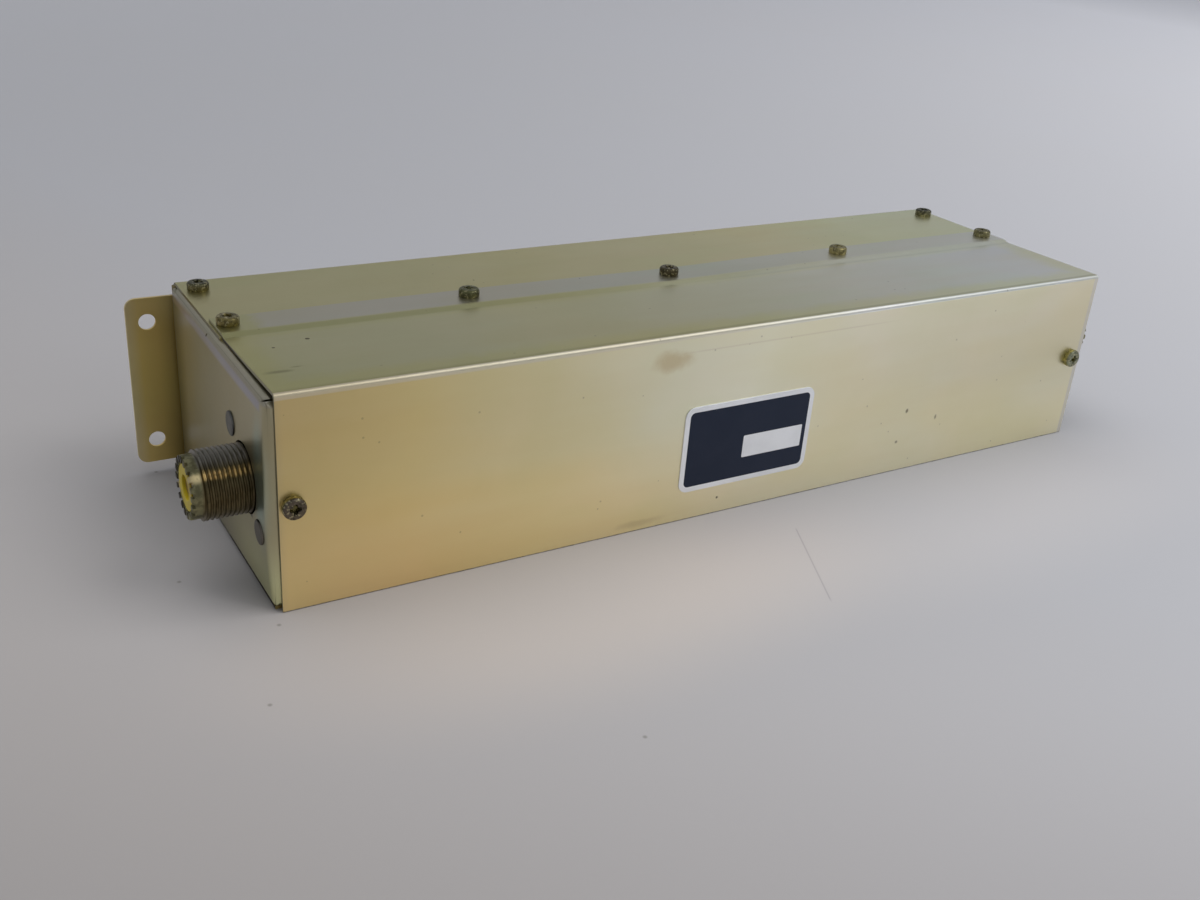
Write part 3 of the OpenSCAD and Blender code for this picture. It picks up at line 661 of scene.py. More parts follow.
def lathe(outline, segments, square=()):
    """Spins a closed outline of (axial, radius) points round the X axis.

    The rows listed in square are pushed out to a square of that half width."""
    bm = bmesh.new()
    rings = []
    for row, (axial, radius) in enumerate(outline):
        ring = []
        for angle in round_trip(segments):
            c, s = math.cos(angle), math.sin(angle)
            reach = radius / max(abs(c), abs(s)) if row in square else radius
            ring.append(bm.verts.new((axial, reach * c, reach * s)))
        rings.append(ring)
    for ring, after in zip(rings, rings[1:] + rings[:1]):
        band(bm, ring, after)
    bmesh.ops.recalc_face_normals(bm, faces=bm.faces)
    return bm


def solid_lathe(outline, segments):
    """Spins an open outline, whose ends lie on the Z axis, and closes it there."""
    bm = bmesh.new()
    poles = [bm.verts.new((0, 0, axial)) for axial, _ in (outline[0], outline[-1])]
    rings = [
        [bm.verts.new((radius * math.cos(a), radius * math.sin(a), axial)) for a in round_trip(segments)]
        for axial, radius in outline[1:-1]
    ]
    for ring, after in zip(rings, rings[1:]):
        band(bm, ring, after)
    for pole, ring in zip(poles, (rings[0], rings[-1])):
        for k in range(segments):
            bm.faces.new((pole, ring[k - 1], ring[k]))
    bmesh.ops.recalc_face_normals(bm, faces=bm.faces)
    return bm


def arc(centre, radius, start, end, steps):
    """Points of an arc in a plane, its angles in degrees."""
    turns = [math.radians(start + (end - start) * k / steps) for k in range(steps + 1)]
    return [(centre[0] + radius * math.cos(t), centre[1] + radius * math.sin(t)) for t in turns]


def extrude_along_x(outline, stations, bulge):
    """Pulls a closed (y, z) outline along X through all stations, raises its points and caps its ends."""
    bm = bmesh.new()
    rings = [[bm.verts.new((x, y, z + bulge(x, y, z))) for y, z in outline] for x in stations]
    for ring, after in zip(rings, rings[1:]):
        band(bm, ring, after)
    bm.faces.new(list(reversed(rings[0])))
    bm.faces.new(rings[-1])
    bmesh.ops.recalc_face_normals(bm, faces=bm.faces)
    return bm


# Geometry trees


def geometry_tree(name, inputs):
    """A tree with a geometry input and output, and a named input for each size, or for an object if None."""
    tree = bpy.data.node_groups.new(name, "GeometryNodeTree")
    face = tree.interface
    for way in ("OUTPUT", "INPUT"):
        face.new_socket("Geometry", in_out=way, socket_type="NodeSocketGeometry")
    for label, value in inputs.items():
        kind = "NodeSocketObject" if value is None else "NodeSocketFloat"
        socket = face.new_socket(label, in_out="INPUT", socket_type=kind)
        if value is not None:
            socket.default_value = value
    graph = Graph(tree)
    names = ("Geometry", *inputs)
    readings = dict(zip(names, graph.node("NodeGroupInput", output=names)))
    return tree, graph, readings


def close_tree(graph, geometry, finish):
    """Ends a tree in real geometry with its finish."""
    real = graph.node("GeometryNodeRealizeInstances", [geometry])
    done = graph.node("GeometryNodeSetMaterial", {"Geometry": real, "Material": finish})
    graph.node("NodeGroupOutput", [done])


def grow(piece, tree, values):
    """Runs a tree on a piece and keeps its result as a plain mesh."""
    modifier = piece.modifiers.new(tree.name, "NODES")
    modifier.node_group = tree
    for item in tree.interface.items_tree:
        if item.item_type == "SOCKET" and item.in_out == "INPUT" and item.name in values:
            modifier[item.identifier] = values[item.name]
    settle(piece)
    bpy.data.node_groups.remove(tree)


def thread_tree(finish):
    """Cuts a helical thread and rim notches into a smooth barrel whose axis is X."""
    sizes = {
        "Axis Y": 0.0, "Axis Z": 0.0, "Pitch": 0.001, "Depth": 0.0005, "Crest Radius": 0.008,
        "Thread Start": 0.0, "Thread End": 0.01, "Rim": 0.014, "Notches": 18.0, "Notch Share": 0.36,
        "Notch Depth": 0.001,
    }
    tree, graph, given = geometry_tree("cut_thread_and_notches", sizes)
    run_out, rim_zone = 0.4 * MM, 0.45 * MM
    x, y, z = graph.split(graph.node("GeometryNodeInputPosition"))
    side = x.sign()
    away = x.size() - BOX_HALF
    dy, dz = y - given["Axis Y"], z - given["Axis Z"]
    radius = (dy * dy + dz * dz).root()
    turn = dz.angle(dy) / (2 * math.pi)
    wave = ((away / given["Pitch"] - turn * side).part() * 2 - 1).size()
    groove = wave.span(0.22, 0.86, smooth=False)
    inside = away.span(given["Thread Start"], given["Thread Start"] + run_out)
    inside = inside * away.span(given["Thread End"], given["Thread End"] - run_out)
    outer = radius > given["Crest Radius"] - 0.1 * MM
    cut = groove * inside * outer * given["Depth"]
    notch = ((turn * given["Notches"]).part() - 0.5).size() < given["Notch Share"] / 2
    near_rim = away > given["Rim"] - rim_zone
    drop = notch * near_rim * given["Notch Depth"]
    shrink = (radius - cut) / radius
    new_place = graph.join(x - side * drop, given["Axis Y"] + dy * shrink, given["Axis Z"] + dz * shrink)
    shaped = graph.node("GeometryNodeSetPosition", {"Geometry": given["Geometry"], "Position": new_place})
    close_tree(graph, shaped, finish)
    return tree


def scatter_tree(name, finish):
    """Puts a part on each point, turned by the angles that the point carries."""
    tree, graph, given = geometry_tree(name, {"Part": None})
    part = graph.node("GeometryNodeObjectInfo", {"Object": given["Part"]}, "Geometry")
    turn = graph.node("GeometryNodeInputNamedAttribute", {"Name": "turn"}, data_type="FLOAT_VECTOR")
    points = graph.node("GeometryNodeMeshToPoints", {"Mesh": given["Geometry"]})
    spread = {"Points": points, "Instance": part, "Rotation": turn}
    close_tree(graph, graph.node("GeometryNodeInstanceOnPoints", spread), finish)
    return tree


def place_parts(node, part, places, turns, finish):
    """One piece that holds a copy of the part at each place and stands for a CAD node."""
    name = node + "_set"
    mesh = bpy.data.meshes.new(name)
    mesh.from_pydata([tuple(p) for p in places], [], [])
    turn = mesh.attributes.new("turn", "FLOAT_VECTOR", "POINT")
    turn.data.foreach_set("vector", [c for t in turns for c in t])
    piece = link(name, mesh)
    grow(piece, scatter_tree("place_" + name, finish), {"Part": part})
    smooth_but_sharp(piece.data, 40)
    hand_over(piece, [node])


# Settings


class SheetLook(bpy.types.PropertyGroup):
    """Sizes and colours of the folded sheets."""

    edge_break: bpy.props.FloatProperty(
        name="Edge break", description="Rounding of the raw edges", default=0.00012, unit="LENGTH"
    )
    bend: bpy.props.FloatProperty(
        name="Bend radius", description="Outside radius of the cover's bend", default=0.0011, unit="LENGTH"
    )
    streaks: bpy.props.FloatProperty(
        name="Streaks", description="Strength of the rolling streaks", default=0.35, subtype="FACTOR"
    )
    bloom: bpy.props.FloatProperty(
        name="Bloom", description="Strength of the cloudy patches", default=0.5, subtype="FACTOR"
    )
    speck_share: bpy.props.FloatProperty(
        name="Specks", description="Share of the cells that hold a speck", default=0.16, subtype="FACTOR"
    )
    cloud_tint: bpy.props.FloatVectorProperty(
        name="Cloud tint", description="What the clouds leave of the colour",
        default=(0.93, 0.96, 0.90), subtype="COLOR",
    )
    streak_tint: bpy.props.FloatVectorProperty(
        name="Streak tint", description="What the streaks leave of the colour",
        default=(0.97, 0.94, 0.90), subtype="COLOR",
    )


class SocketLook(bpy.types.PropertyGroup):
    """Sizes of the sockets."""

    segments: bpy.props.IntProperty(name="Segments", description="Segments round a barrel", default=288)
    pitch: bpy.props.FloatProperty(
        name="Pitch", description="Thread pitch", default=0.001058, unit="LENGTH"
    )
    depth: bpy.props.FloatProperty(
        name="Thread depth", description="Depth of the thread", default=0.00042, unit="LENGTH"
    )
    notches: bpy.props.IntProperty(name="Notches", description="Notches round the rim", default=18)
    notch_share: bpy.props.FloatProperty(
        name="Notch share", description="Share of the rim that is notched", default=0.42, subtype="FACTOR"
    )
    notch_depth: bpy.props.FloatProperty(
        name="Notch depth", description="Depth of a notch", default=0.0006, unit="LENGTH"
    )


class ScrewLook(bpy.types.PropertyGroup):
    """Sizes of the screw and rivet heads."""

    segments: bpy.props.IntProperty(name="Segments", description="Segments round a head", default=64)
    recess_width: bpy.props.FloatProperty(
        name="Recess width", description="Width of the cross recess", default=0.0009, unit="LENGTH"
    )
    recess_reach: bpy.props.FloatProperty(
        name="Recess reach", description="Half length of the cross recess", default=0.0013, unit="LENGTH"
    )
    recess_depth: bpy.props.FloatProperty(
        name="Recess depth", description="Depth of the cross recess", default=0.0011, unit="LENGTH"
    )


class LabelLook(bpy.types.PropertyGroup):
    """Sizes and colours of the label plate."""

    border: bpy.props.FloatProperty(
        name="Border", description="Width of the bare border", default=0.00145, unit="LENGTH"
    )
    field_corner: bpy.props.FloatProperty(
        name="Field corner", description="Corner radius of the printed field", default=0.0014, unit="LENGTH"
    )
    window_low: bpy.props.FloatVectorProperty(
        name="Window low", description="Low corner of the bare window",
        default=(-0.00245, 0.0153), size=2, unit="LENGTH",
    )
    window_high: bpy.props.FloatVectorProperty(
        name="Window high", description="High corner of the bare window",
        default=(0.0170, 0.0216), size=2, unit="LENGTH",
    )
    ink: bpy.props.FloatVectorProperty(
        name="Ink", description="Colour of the print", default=(0.003, 0.009, 0.026), subtype="COLOR"
    )


class StageLook(bpy.types.PropertyGroup):
    """Camera and floor."""

    azimuth: bpy.props.FloatProperty(
        name="Azimuth", description="Camera's way round the box",
        default=math.radians(32.67165), subtype="ANGLE",
    )
    elevation: bpy.props.FloatProperty(
        name="Elevation", description="Camera's height above the level",
        default=math.radians(25.71206), subtype="ANGLE",
    )
    roll: bpy.props.FloatProperty(
        name="Roll", description="Camera's lean", default=math.radians(-4.60776), subtype="ANGLE"
    )
    position: bpy.props.FloatVectorProperty(
        name="Position", description="Camera's place",
        default=(-0.1941, -0.270051, 0.157269), subtype="TRANSLATION",
    )
    lens: bpy.props.FloatProperty(name="Lens", description="Focal length", default=37.647, unit="CAMERA")
    floor: bpy.props.FloatVectorProperty(
        name="Floor", description="Colour of the floor", default=(0.298, 0.285, 0.2855), subtype="COLOR"
    )
    falloff: bpy.props.FloatProperty(
        name="Falloff", description="How much brighter the paper gets per metre to the right", default=0.642
    )
    backdrop: bpy.props.FloatVectorProperty(
        name="Backdrop", description="Colour of the backdrop",
        default=(0.298, 0.3025, 0.327), subtype="COLOR",
    )


# Operators


class FILTER_OT_fold_cover(bpy.types.Operator):
    """Makes the cover's sheet with its bend, its step and its raised lip"""

    bl_idname = "filter.fold_cover"
    bl_label = "Fold the cover"

    def execute(self, context):
        look = context.scene.filter_sheet
        front, foot = COVER_LOW.y, COVER_LOW.z
        edge, top = COVER_HIGH.y, COVER_HIGH.z
        marks = [
            ((-0.0268, front, 0.0458), (0.0080, 0.01, 0.0038), (0.66, 0.52, 0.28), 0.62),
            ((-0.033, front, 0.0022), (0.009, 0.01, 0.0014), (0.50, 0.38, 0.22), 0.28),
            ((-0.1203, -0.0279, top), (0.0044, 0.0012, 0.004), (0.27, 0.25, 0.11), 0.75),
            ((-0.1165, -0.0262, top), (0.0022, 0.0006, 0.004), (0.27, 0.25, 0.11), 0.6),
            ((0.0559, front, 0.0189), (0.0007, 0.01, 0.0009), (0.16, 0.13, 0.08), 0.8),
            ((0.0679, front, 0.0150), (0.0006, 0.01, 0.0011), (0.20, 0.16, 0.10), 0.7),
            ((0.0539, front, 0.0095), (0.0007, 0.01, 0.0006), (0.24, 0.20, 0.13), 0.7),
        ]
        finish = chromate_finish("chromate_cover", cover_palette, 0.36, marks)
        bend = look.bend
        low_top = top - (SHEET - 0.2 * MM)
        step_high, step_low = edge - 10.1 * MM, edge - 12.5 * MM
        centre = (front + bend, top - bend)
        steps = [k / 8 for k in range(9)]
        rise = [0.5 - 0.5 * math.cos(math.pi * s) for s in steps[1:-1]]
        flat = [(centre[0] + (step_low - centre[0]) * s, top + (low_top - top) * s) for s in steps[1:]]
        flat += [
            (step_low + (step_high - step_low) * s, low_top + (top - low_top) * r)
            for s, r in zip(steps[1:-1], rise)
        ]
        flat += [(step_high + (edge - step_high) * s, top) for s in steps]
        wall = [(front, foot + (centre[1] - foot) * s) for s in steps[:-1]]
        outline = wall + arc(centre, bend, 180, 90, 12) + flat
        outline += [(y, z - SHEET) for y, z in reversed(flat)]
        outline += arc(centre, bend - SHEET, 90, 180, 12) + [(y + SHEET, z) for y, z in reversed(wall)]
        count = 84
        left, right = COVER_LOW.x + LEFT_SHORT, COVER_HIGH.x
        stations = [left + (right - left) * k / count for k in range(count + 1)]
        pitch = (BOX_HALF - SCREW_EDGE) / 2

        def bulge(x, y, z):
            """How far the top rises at its front edge and sinks between the screws."""
            between = math.sin(math.pi * x / pitch) ** 2
            behind = max(0.0, (y - step_low) / (edge - step_low))
            lift = (0.1 * MM - 0.003 * x) * min(1.0, max(0.0, (step_low - y) / (step_low - front)))
            high = min(1.0, max(0.0, (z - top + 8 * MM) / (6 * MM)))
            return (lift - 0.00006 * (1 - between) * behind - dip(x, y)) * high

        bm = extrude_along_x(outline, stations, bulge)
        piece = link("cover_folded", to_mesh(bm, "cover_folded", 40), finish)
        break_edges(piece, look.edge_break)
        hand_over(piece, ["cover"])
        return {"FINISHED"}


class FILTER_OT_finish_chassis(bpy.types.Operator):
    """Breaks the chassis's raw edges and gives it its chromate"""

    bl_idname = "filter.finish_chassis"
    bl_label = "Finish the chassis"

    def execute(self, context):
        look = context.scene.filter_sheet
        finish = chromate_finish("chromate_chassis", chassis_palette)
        piece = finished_copy("chassis", "chassis_folded", finish, look.edge_break)
        under_top = CHASSIS_HIGH.z - 3 * MM

        def settled(x, y, z):
            short = LEFT_SHORT if x < MM - BOX_HALF and y < CHASSIS_HIGH.y - 0.1 * MM else 0.0
            return (short, 0.0, -dip(x, y)) if z > under_top else (0.0, 0.0, 0.0)

        warp(piece, 8 * MM, (0, 1), settled)
        hand_over(piece, ["chassis"])
        return {"FINISHED"}


class FILTER_OT_finish_plates(bpy.types.Operator):
    """Finishes both end plates and the three partitions"""

    bl_idname = "filter.finish_plates"
    bl_label = "Finish the plates"

    def execute(self, context):
        look = context.scene.filter_sheet
        finish = chromate_finish("chromate_plate", plate_palette, 0.38)
        web = 4 * MM - BOX_HALF
        plates = {"end_plate_" + side: "_tray" for side in ("left", "right")}
        plates.update({"partition_" + place: "_folded" for place in ("left", "middle", "right")})
        for node, form in plates.items():
            piece = finished_copy(node, node + form, finish, look.edge_break)
            if node == "end_plate_left":
                warp(piece, 6 * MM, (1, 2), lambda x, y, z: (-swell(y, z) if x < web else 0.0, 0.0, 0.0))
            hand_over(piece, [node])
        return {"FINISHED"}


class FILTER_OT_turn_sockets(bpy.types.Operator):
    """Turns both threaded barrels with their notched rims and square flanges"""

    bl_idname = "filter.turn_sockets"
    bl_label = "Turn the sockets"

    def execute(self, context):
        look = context.scene.filter_socket
        finish = socket_finish()
        bore, nose, crest, neck = 5.35 * MM, 7.2 * MM, 7.9375 * MM, 7.6 * MM
        for side, sign in (("left", -1), ("right", 1)):
            node = "socket_shell_" + side
            low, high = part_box(node)
            axis_y, axis_z = middle(node)
            back, tip = sorted((abs(low.x), abs(high.x)))
            square = (high.y - low.y) / 2
            seat = back + 1.6 * MM
            start, end = BOX_HALF + 1.0 * MM, tip - 2.9 * MM
            rows = 96
            outline = [(back, bore), (back, square), (seat, square), (seat, neck), (start - 0.15 * MM, neck)]
            outline += [(start + (end - start) * k / rows, crest) for k in range(rows + 1)]
            outline += [
                (end + 0.25 * MM, nose), (tip - 1.5 * MM, nose), (tip - 1.2 * MM, nose),
                (tip - 0.4 * MM, nose), (tip - 0.12 * MM, nose - 0.05 * MM), (tip, nose - 0.2 * MM),
                (tip, bore + 0.35 * MM), (tip - 0.12 * MM, bore + 0.2 * MM),
                (tip - 0.4 * MM, bore + 0.1 * MM), (tip - 1.2 * MM, bore + 0.02 * MM),
            ]
            bm = lathe([(sign * x, r) for x, r in outline], look.segments, square=(1, 2))
            bmesh.ops.translate(bm, verts=bm.verts, vec=(0, axis_y, axis_z))
            piece = link(node + "_turned", to_mesh(bm, node + "_turned"), finish)
            sizes = {
                "Axis Y": axis_y, "Axis Z": axis_z, "Pitch": look.pitch, "Depth": look.depth,
                "Crest Radius": crest, "Thread Start": start - BOX_HALF, "Thread End": end - BOX_HALF,
                "Rim": tip - BOX_HALF, "Notches": float(look.notches),
                "Notch Share": look.notch_share, "Notch Depth": look.notch_depth,
            }
            grow(piece, thread_tree(finish), sizes)
            smooth_but_sharp(piece.data, 42)
            hand_over(piece, [node])
        return {"FINISHED"}


class FILTER_OT_mould_insulators(bpy.types.Operator):
    """Finishes the sockets' yellow insulators and their contacts"""

    bl_idname = "filter.mould_insulators"
    bl_label = "Mould the insulators"

    def execute(self, context):
        yellow = insulator_finish()
        brass = cloudy_metal(
            "tarnished_contact", 600.0, (0.3, 0.7), (0.22, 0.14, 0.05), (0.42, 0.29, 0.12), 0.36, 0.2, 0.00004
        )
        for side in ("left", "right"):
            for kind, finish in (("insulator", yellow), ("contact", brass)):
                node = "socket_" + kind + "_" + side
                piece = finished_copy(node, node + "_finished", finish, 0.00018)
                hand_over(piece, [node])
        return {"FINISHED"}


class FILTER_OT_set_screws(bpy.types.Operator):
    """Puts a pan head screw at each place along the seam, in the rear corners and on the front face"""

    bl_idname = "filter.set_screws"
    bl_label = "Set the screws"

    def head(self, look, head_r, head_h, shank_r, shank):
        """A pan head with a cross recess, seated at z = 0 with its head upwards."""
        rows = 26
        outline = [(-shank, 0.0), (-shank, shank_r * 0.8), (-shank + shank_r * 0.3, shank_r), (0.0, shank_r)]
        outline += [(0.0, head_r * 0.985), (head_h * 0.12, head_r)]
        for k in range(rows + 1):
            out = 1 - k / rows
            drop = head_h * (0.08 * out ** 2 + 0.22 * max(0.0, (out - 0.82) / 0.18) ** 2)
            outline.append((head_h - drop, head_r * out))
        bm = solid_lathe(outline, look.segments)
        for vert in bm.verts:
            if vert.co.z > head_h * 0.55 and vert.co.xy.length < head_r * 0.8:
                across, along = sorted((abs(vert.co.x), abs(vert.co.y)))
                width = look.recess_width / 2 * (1.15 - 0.35 * along / look.recess_reach)
                inside = min(1.0, max(0.0, (width - across) / 0.00012 + 0.5))
                reach = min(1.0, max(0.0, (look.recess_reach - along) / 0.0005))
                vert.co.z -= look.recess_depth * inside * reach
        return bm

    def execute(self, context):
        look = context.scene.filter_screw
        finish = screw_finish()
        head_r, head_h = 2.65 * MM, 2.07 * MM
        part = link("screw_pattern", to_mesh(self.head(look, head_r, head_h, 1.4 * MM, 6 * MM), "screw", 48))
        edge = BOX_HALF - SCREW_EDGE
        seam_y, rear_y = middle("seam_screws")[0], middle("rear_screws")[0]
        front_z = middle("front_screws")[1]
        off = -0.5 * MM
        top, low_top = COVER_HIGH.z, CHASSIS_HIGH.z
        seam = [(k * edge / 2 + off, seam_y, top - (0 if k else dip(0, seam_y))) for k in range(-2, 3)]
        rear = [(-edge, rear_y, low_top), (edge - off, rear_y, low_top)]
        front = [(side * edge + off, COVER_LOW.y, front_z) for side in (-1, 1)]
        pieces = (
            ("seam_screws", seam, [(0, 0, a) for a in (0.35, 1.1, 0.2, 0.75, 0.5)]),
            ("rear_screws", rear, [(0, 0, a) for a in (0.9, 0.3)]),
            ("front_screws", front, [(math.pi / 2, 0, 0)] * 2),
        )
        for node, places, turns in pieces:
            place_parts(node, part, places, turns, finish)
        bpy.data.objects.remove(part)
        return {"FINISHED"}


class FILTER_OT_set_rivets(bpy.types.Operator):
    """Sets the two flat-headed rivets beside each socket"""

    bl_idname = "filter.set_rivets"
    bl_label = "Set the rivets"

    def execute(self, context):
        look = context.scene.filter_screw
        finish = rivet_finish()
        head_r, head_h, shank_r, reach = 2.9 * MM, 0.4 * MM, 1.55 * MM, 2.4 * MM
        tail_r, tail_h = 2.325 * MM, 1.2 * MM
        outline = [
            (-reach - tail_h, 0.0), (-reach - tail_h, tail_r * 0.8), (-reach - tail_h * 0.6, tail_r),
            (-reach, tail_r), (-reach, shank_r), (0.0, shank_r), (0.0, head_r),
            (head_h * 0.45, head_r), (head_h * 0.8, head_r * 0.965), (head_h * 0.96, head_r * 0.9),
            (head_h, head_r * 0.75), (head_h, 0.0),
        ]
        part = link("rivet_pattern", to_mesh(solid_lathe(outline, look.segments), "rivet", 48))
        for side, sign in (("left", -1), ("right", 1)):
            node = "socket_rivets_" + side
            low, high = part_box(node)
            spots = [(high.y - head_r, high.z - head_r), (low.y + head_r, low.z + head_r)]
            places = [(sign * BOX_HALF - (swell(y, z) if sign < 0 else 0.0), y, z) for y, z in spots]
            place_parts(node, part, places, [(0, sign * math.pi / 2, 0)] * 2, finish)
        bpy.data.objects.remove(part)
        return {"FINISHED"}


class FILTER_OT_print_label(bpy.types.Operator):
    """Makes the label plate with its bare border and window"""

    bl_idname = "filter.print_label"
    bl_label = "Print the label"

    def execute(self, context):
        piece = finished_copy("label_plate", "label_plate_printed", label_finish(), 0.00006)
        hand_over(piece, ["label_plate"])
        return {"FINISHED"}


class FILTER_OT_finish_insides(bpy.types.Operator):
    """Gives the coils, capacitors and feed-throughs their finishes"""

    bl_idname = "filter.finish_insides"
    bl_label = "Finish the insides"

    def execute(self, context):
        white = ceramic_finish("white_bushing", (0.80, 0.78, 0.71), (0.62, 0.58, 0.50), 0.45)
        brown = ceramic_finish("brown_glaze", (0.30, 0.13, 0.055), (0.20, 0.08, 0.035), 0.16)
        silver = cloudy_metal(
            "silvered_wire", 240.0, (0.4, 0.75), (0.72, 0.69, 0.63), (0.42, 0.38, 0.30), 0.30, 0.3, 0.00005
        )
        brass, zinc = [bpy.data.materials[name] for name in ("tarnished_contact", "plated_screw")]
        finishes = {
            "coil": silver, "capacitor_strap": silver, "capacitor_screws": zinc, "capacitor": brown,
            "feed_bushings": white, "feed_stud": brass, "feed_nuts": zinc,
        }
        for node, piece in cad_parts.items():
            kinds = [kind for kind in finishes if node.startswith(kind)]
            if kinds:
                piece.data.materials.clear()
                piece.data.materials.append(finishes[max(kinds, key=len)])
        return {"FINISHED"}


class FILTER_OT_set_stage(bpy.types.Operator):
    """Lays the floor, hangs the lights and sets the camera"""

    bl_idname = "filter.set_stage"
    bl_label = "Set the stage"

    # Each lamp's name, place, size, power and colour, and whether the box only mirrors it
    lamps = (
        ("window", (0.85, -0.6, 1.4), (1.0, 0.9), 19.5, (1.0, 0.98, 0.95), False),
        ("ceiling", (-0.2, 0.3, 1.6), (1.6, 1.6), 19.3, (1.0, 0.99, 0.97), False),
        ("softbox", (0.5, -1.5, 1.0), (1.2, 0.5), 5.0, (1.0, 0.99, 0.97), False),
        ("glow", (0.83, -0.72, 1.30), (1.5, 0.9), 3.7, (1.0, 1.0, 1.0), True),
    )
    # Where the paper has small dark dots
    dots = ((-0.1345, 0.0382), (-0.1425, -0.0178), (-0.1277, -0.0436), (-0.0757, -0.1102), (-0.1379, -0.0697))

    def camera(self, context, look):
        a, e, lean = look.azimuth, look.elevation, look.roll
        ahead = Vector((math.sin(a) * math.cos(e), math.cos(a) * math.cos(e), -math.sin(e)))
        across = ahead.cross(Vector((0, 0, 1))).normalized()
        down = ahead.cross(across)
        right = math.cos(lean) * across + math.sin(lean) * down
        below = -math.sin(lean) * across + math.cos(lean) * down
        turn = Matrix((right, -below, -ahead)).transposed().to_4x4()
        data = bpy.data.cameras.new("camera")
        data.sensor_width = 36.0
        data.sensor_fit = "HORIZONTAL"
        data.lens = look.lens
        data.clip_start, data.clip_end = 0.01, 30.0
        camera = bpy.data.objects.new("camera", data)
        camera.matrix_world = Matrix.Translation(look.position) @ turn
        context.scene.collection.objects.link(camera)
        context.scene.camera = camera

    def floor(self, look):
        """A paper sweep: level under the box, rising behind it."""
        near, height, depth, wide, bend = -3.0, 4.0, 1.5, 3.0, 1.0
        curve = arc((depth, bend), bend, -90, 0, 24)[1:]
        path = [(near, 0.0), (depth, 0.0)] + curve + [(depth + bend, height)]
        bm = bmesh.new()
        rows = [[bm.verts.new((x, y, z)) for x in (-wide, wide)] for y, z in path]
        for row, after in zip(rows, rows[1:]):
            bm.faces.new((row[0], row[1], after[1], after[0]))
        finish = self.paper(look)
        link("paper_sweep", to_mesh(bm, "paper_sweep", 60), finish)

    def paper(self, look):
        """Pale paper: brighter to the right, warm where the box throws light, with a few dots and a hair."""
        finish, graph, place = new_finish("pale_paper")
        x, y, z = graph.split(place)
        turn = look.azimuth
        across = x * math.cos(turn) - y * math.sin(turn)
        deep = x * math.sin(turn) + y * math.cos(turn)
        light = across * look.falloff + across * across * 0.788 - across * deep * 0.127 + deep * deep * 0.334
        light = light + 1.0 - deep.span(-0.10, -0.24) * 0.24
        cloud = graph.noise(place, 5.0, 4.0, 0.55)
        cool = (across * 3 + deep * 4 + 0.9).span(0.0, 1.0, smooth=False)
        colour = graph.mix(cool, look.floor, look.backdrop)
        colour = graph.mix(cloud.span(0.3, 0.7) * 0.06, colour, (0.30, 0.29, 0.28))
        level = z.span(0.3, 0.0, 0.0, 1.0) * (light.least(2.3) - 1) + 1
        hair_x, hair_y, slant, rise = x - 0.0066, y + 0.0546, 0.907, 0.420
        aside = (hair_x * slant - hair_y * rise).size().span(0.00035, 0.0)
        down = hair_x * -rise - hair_y * slant
        hair = aside * down.span(0.0, 0.002) * down.span(0.0364, 0.034)
        warm_left = soft_spot(graph, place, (-0.062, -0.060, 0.0), (0.105, 0.05, 1.0))
        warm_right = soft_spot(graph, place, (0.045, -0.062, 0.0), (0.13, 0.05, 1.0))
        dots = [soft_spot(graph, place, (*dot, 0.0), (0.0007, 0.0007, 1.0)) for dot in self.dots]
        colour = graph.lay(
            graph.vectors("MULTIPLY", colour, graph.join(level, level, level)),
            (warm_left, (1.20, 1.13, 1.05), "MULTIPLY"),
            (warm_right, (1.11, 1.08, 1.05), "MULTIPLY"),
            *[(dot * 0.5, (0.08, 0.07, 0.06)) for dot in dots],
            (hair * 0.35, (0.12, 0.12, 0.13)),
            (z.span(0.3, 0.9), (0.86, 0.87, 0.88)),
        )
        close_finish(graph, colour, 0.75, 0.0, [(graph.noise(place, 300.0, 3.0), 0.05, 0.0002)])
        return finish

    def lamp(self, context, name, place, size, power, colour, mirrored):
        """An area lamp aimed at the box: one that lights it, or one that it only mirrors."""
        data = bpy.data.lights.new(name, "AREA")
        data.shape = "RECTANGLE"
        data.size, data.size_y = size
        data.energy = power
        data.color = colour
        lamp = bpy.data.objects.new(name, data)
        lamp.location = place
        lamp.visible_glossy = mirrored
        lamp.visible_diffuse = not mirrored
        lamp.rotation_mode = "QUATERNION"
        lamp.rotation_quaternion = (-Vector(place)).to_track_quat("-Z", "Y")
        context.scene.collection.objects.link(lamp)

    def execute(self, context):
        look = context.scene.filter_stage
        self.camera(context, look)
        self.floor(look)
        for lamp in self.lamps:
            self.lamp(context, *lamp)
        world = bpy.data.worlds.new("room")
        world.use_nodes = True
        colour, strength = world.node_tree.nodes["Background"].inputs[:2]
        colour.default_value = (0.62, 0.64, 0.68, 1.0)
        strength.default_value = 0.55
        context.scene.world = world
        context.scene.view_settings.view_transform = "Standard"
        return {"FINISHED"}


class FILTER_PT_parts(bpy.types.Panel):
    """Lists the steps that dress the filter, and their settings"""

    bl_label = "Low pass filter"
    bl_idname = "FILTER_PT_parts"
    bl_space_type = "VIEW_3D"
    bl_region_type = "UI"
    bl_category = "Filter"

    def draw(self, context):
        for step in STEPS:
            self.layout.operator(step.bl_idname)
        for name, kind in GROUPS.items():
            box = self.layout.box()
            for setting in kind.__annotations__:
                box.prop(getattr(context.scene, name), setting)


STEPS = (
    FILTER_OT_fold_cover,
    FILTER_OT_finish_chassis,
    FILTER_OT_finish_plates,
    FILTER_OT_turn_sockets,
    FILTER_OT_mould_insulators,
    FILTER_OT_set_screws,
    FILTER_OT_set_rivets,
    FILTER_OT_print_label,
    FILTER_OT_finish_insides,
    FILTER_OT_set_stage,
)
GROUPS = {
    "filter_sheet": SheetLook,
    "filter_socket": SocketLook,
    "filter_screw": ScrewLook,
    "filter_label": LabelLook,
    "filter_stage": StageLook,
}


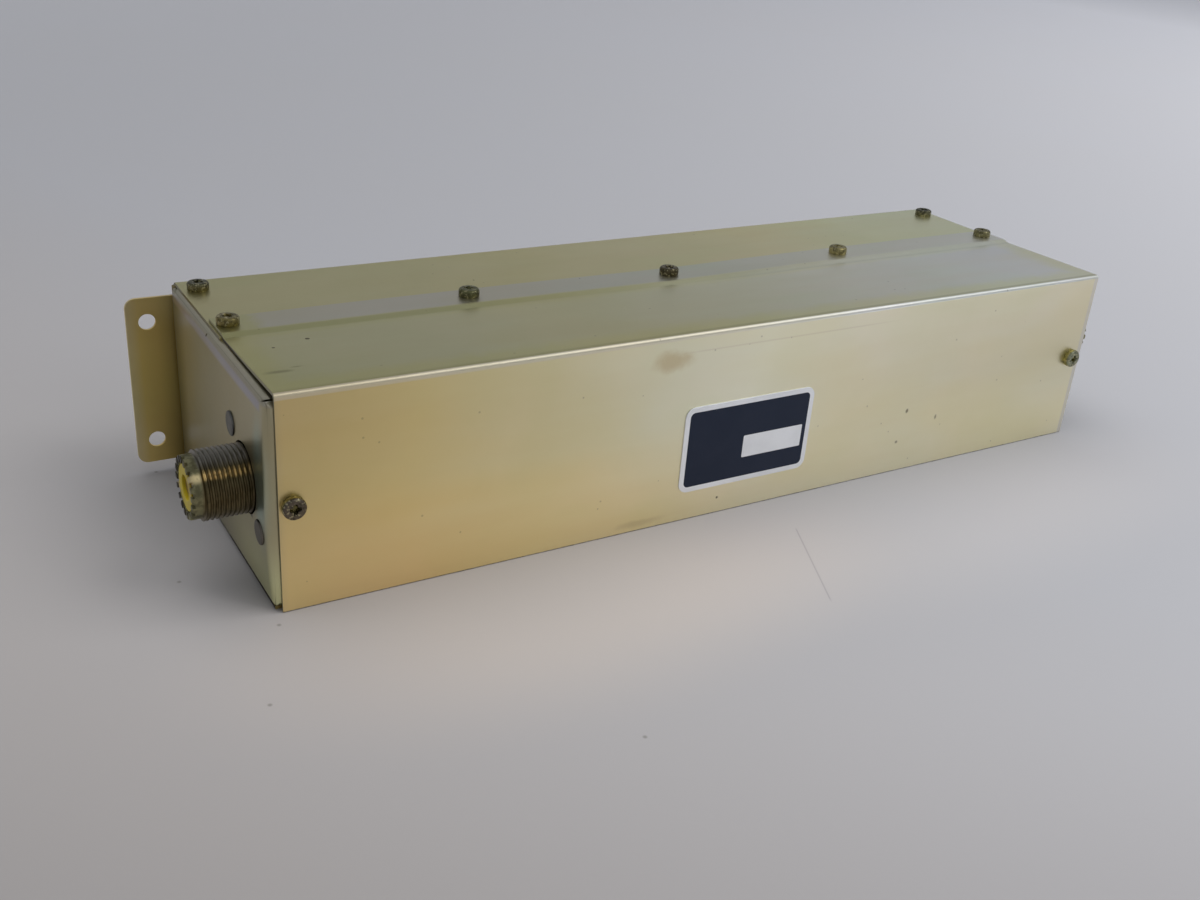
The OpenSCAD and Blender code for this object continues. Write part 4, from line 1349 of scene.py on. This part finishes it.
def register():
    for group in (*GROUPS.values(), *STEPS, FILTER_PT_parts):
        bpy.utils.register_class(group)
    for name, group in GROUPS.items():
        setattr(bpy.types.Scene, name, bpy.props.PointerProperty(type=group))


def unregister():
    for name in GROUPS:
        delattr(bpy.types.Scene, name)
    for group in reversed((*GROUPS.values(), *STEPS, FILTER_PT_parts)):
        bpy.utils.unregister_class(group)


def main():
    register()
    for step in STEPS:
        family, action = step.bl_idname.split(".")
        getattr(getattr(bpy.ops, family), action)()


if __name__ == "__main__":
    main()
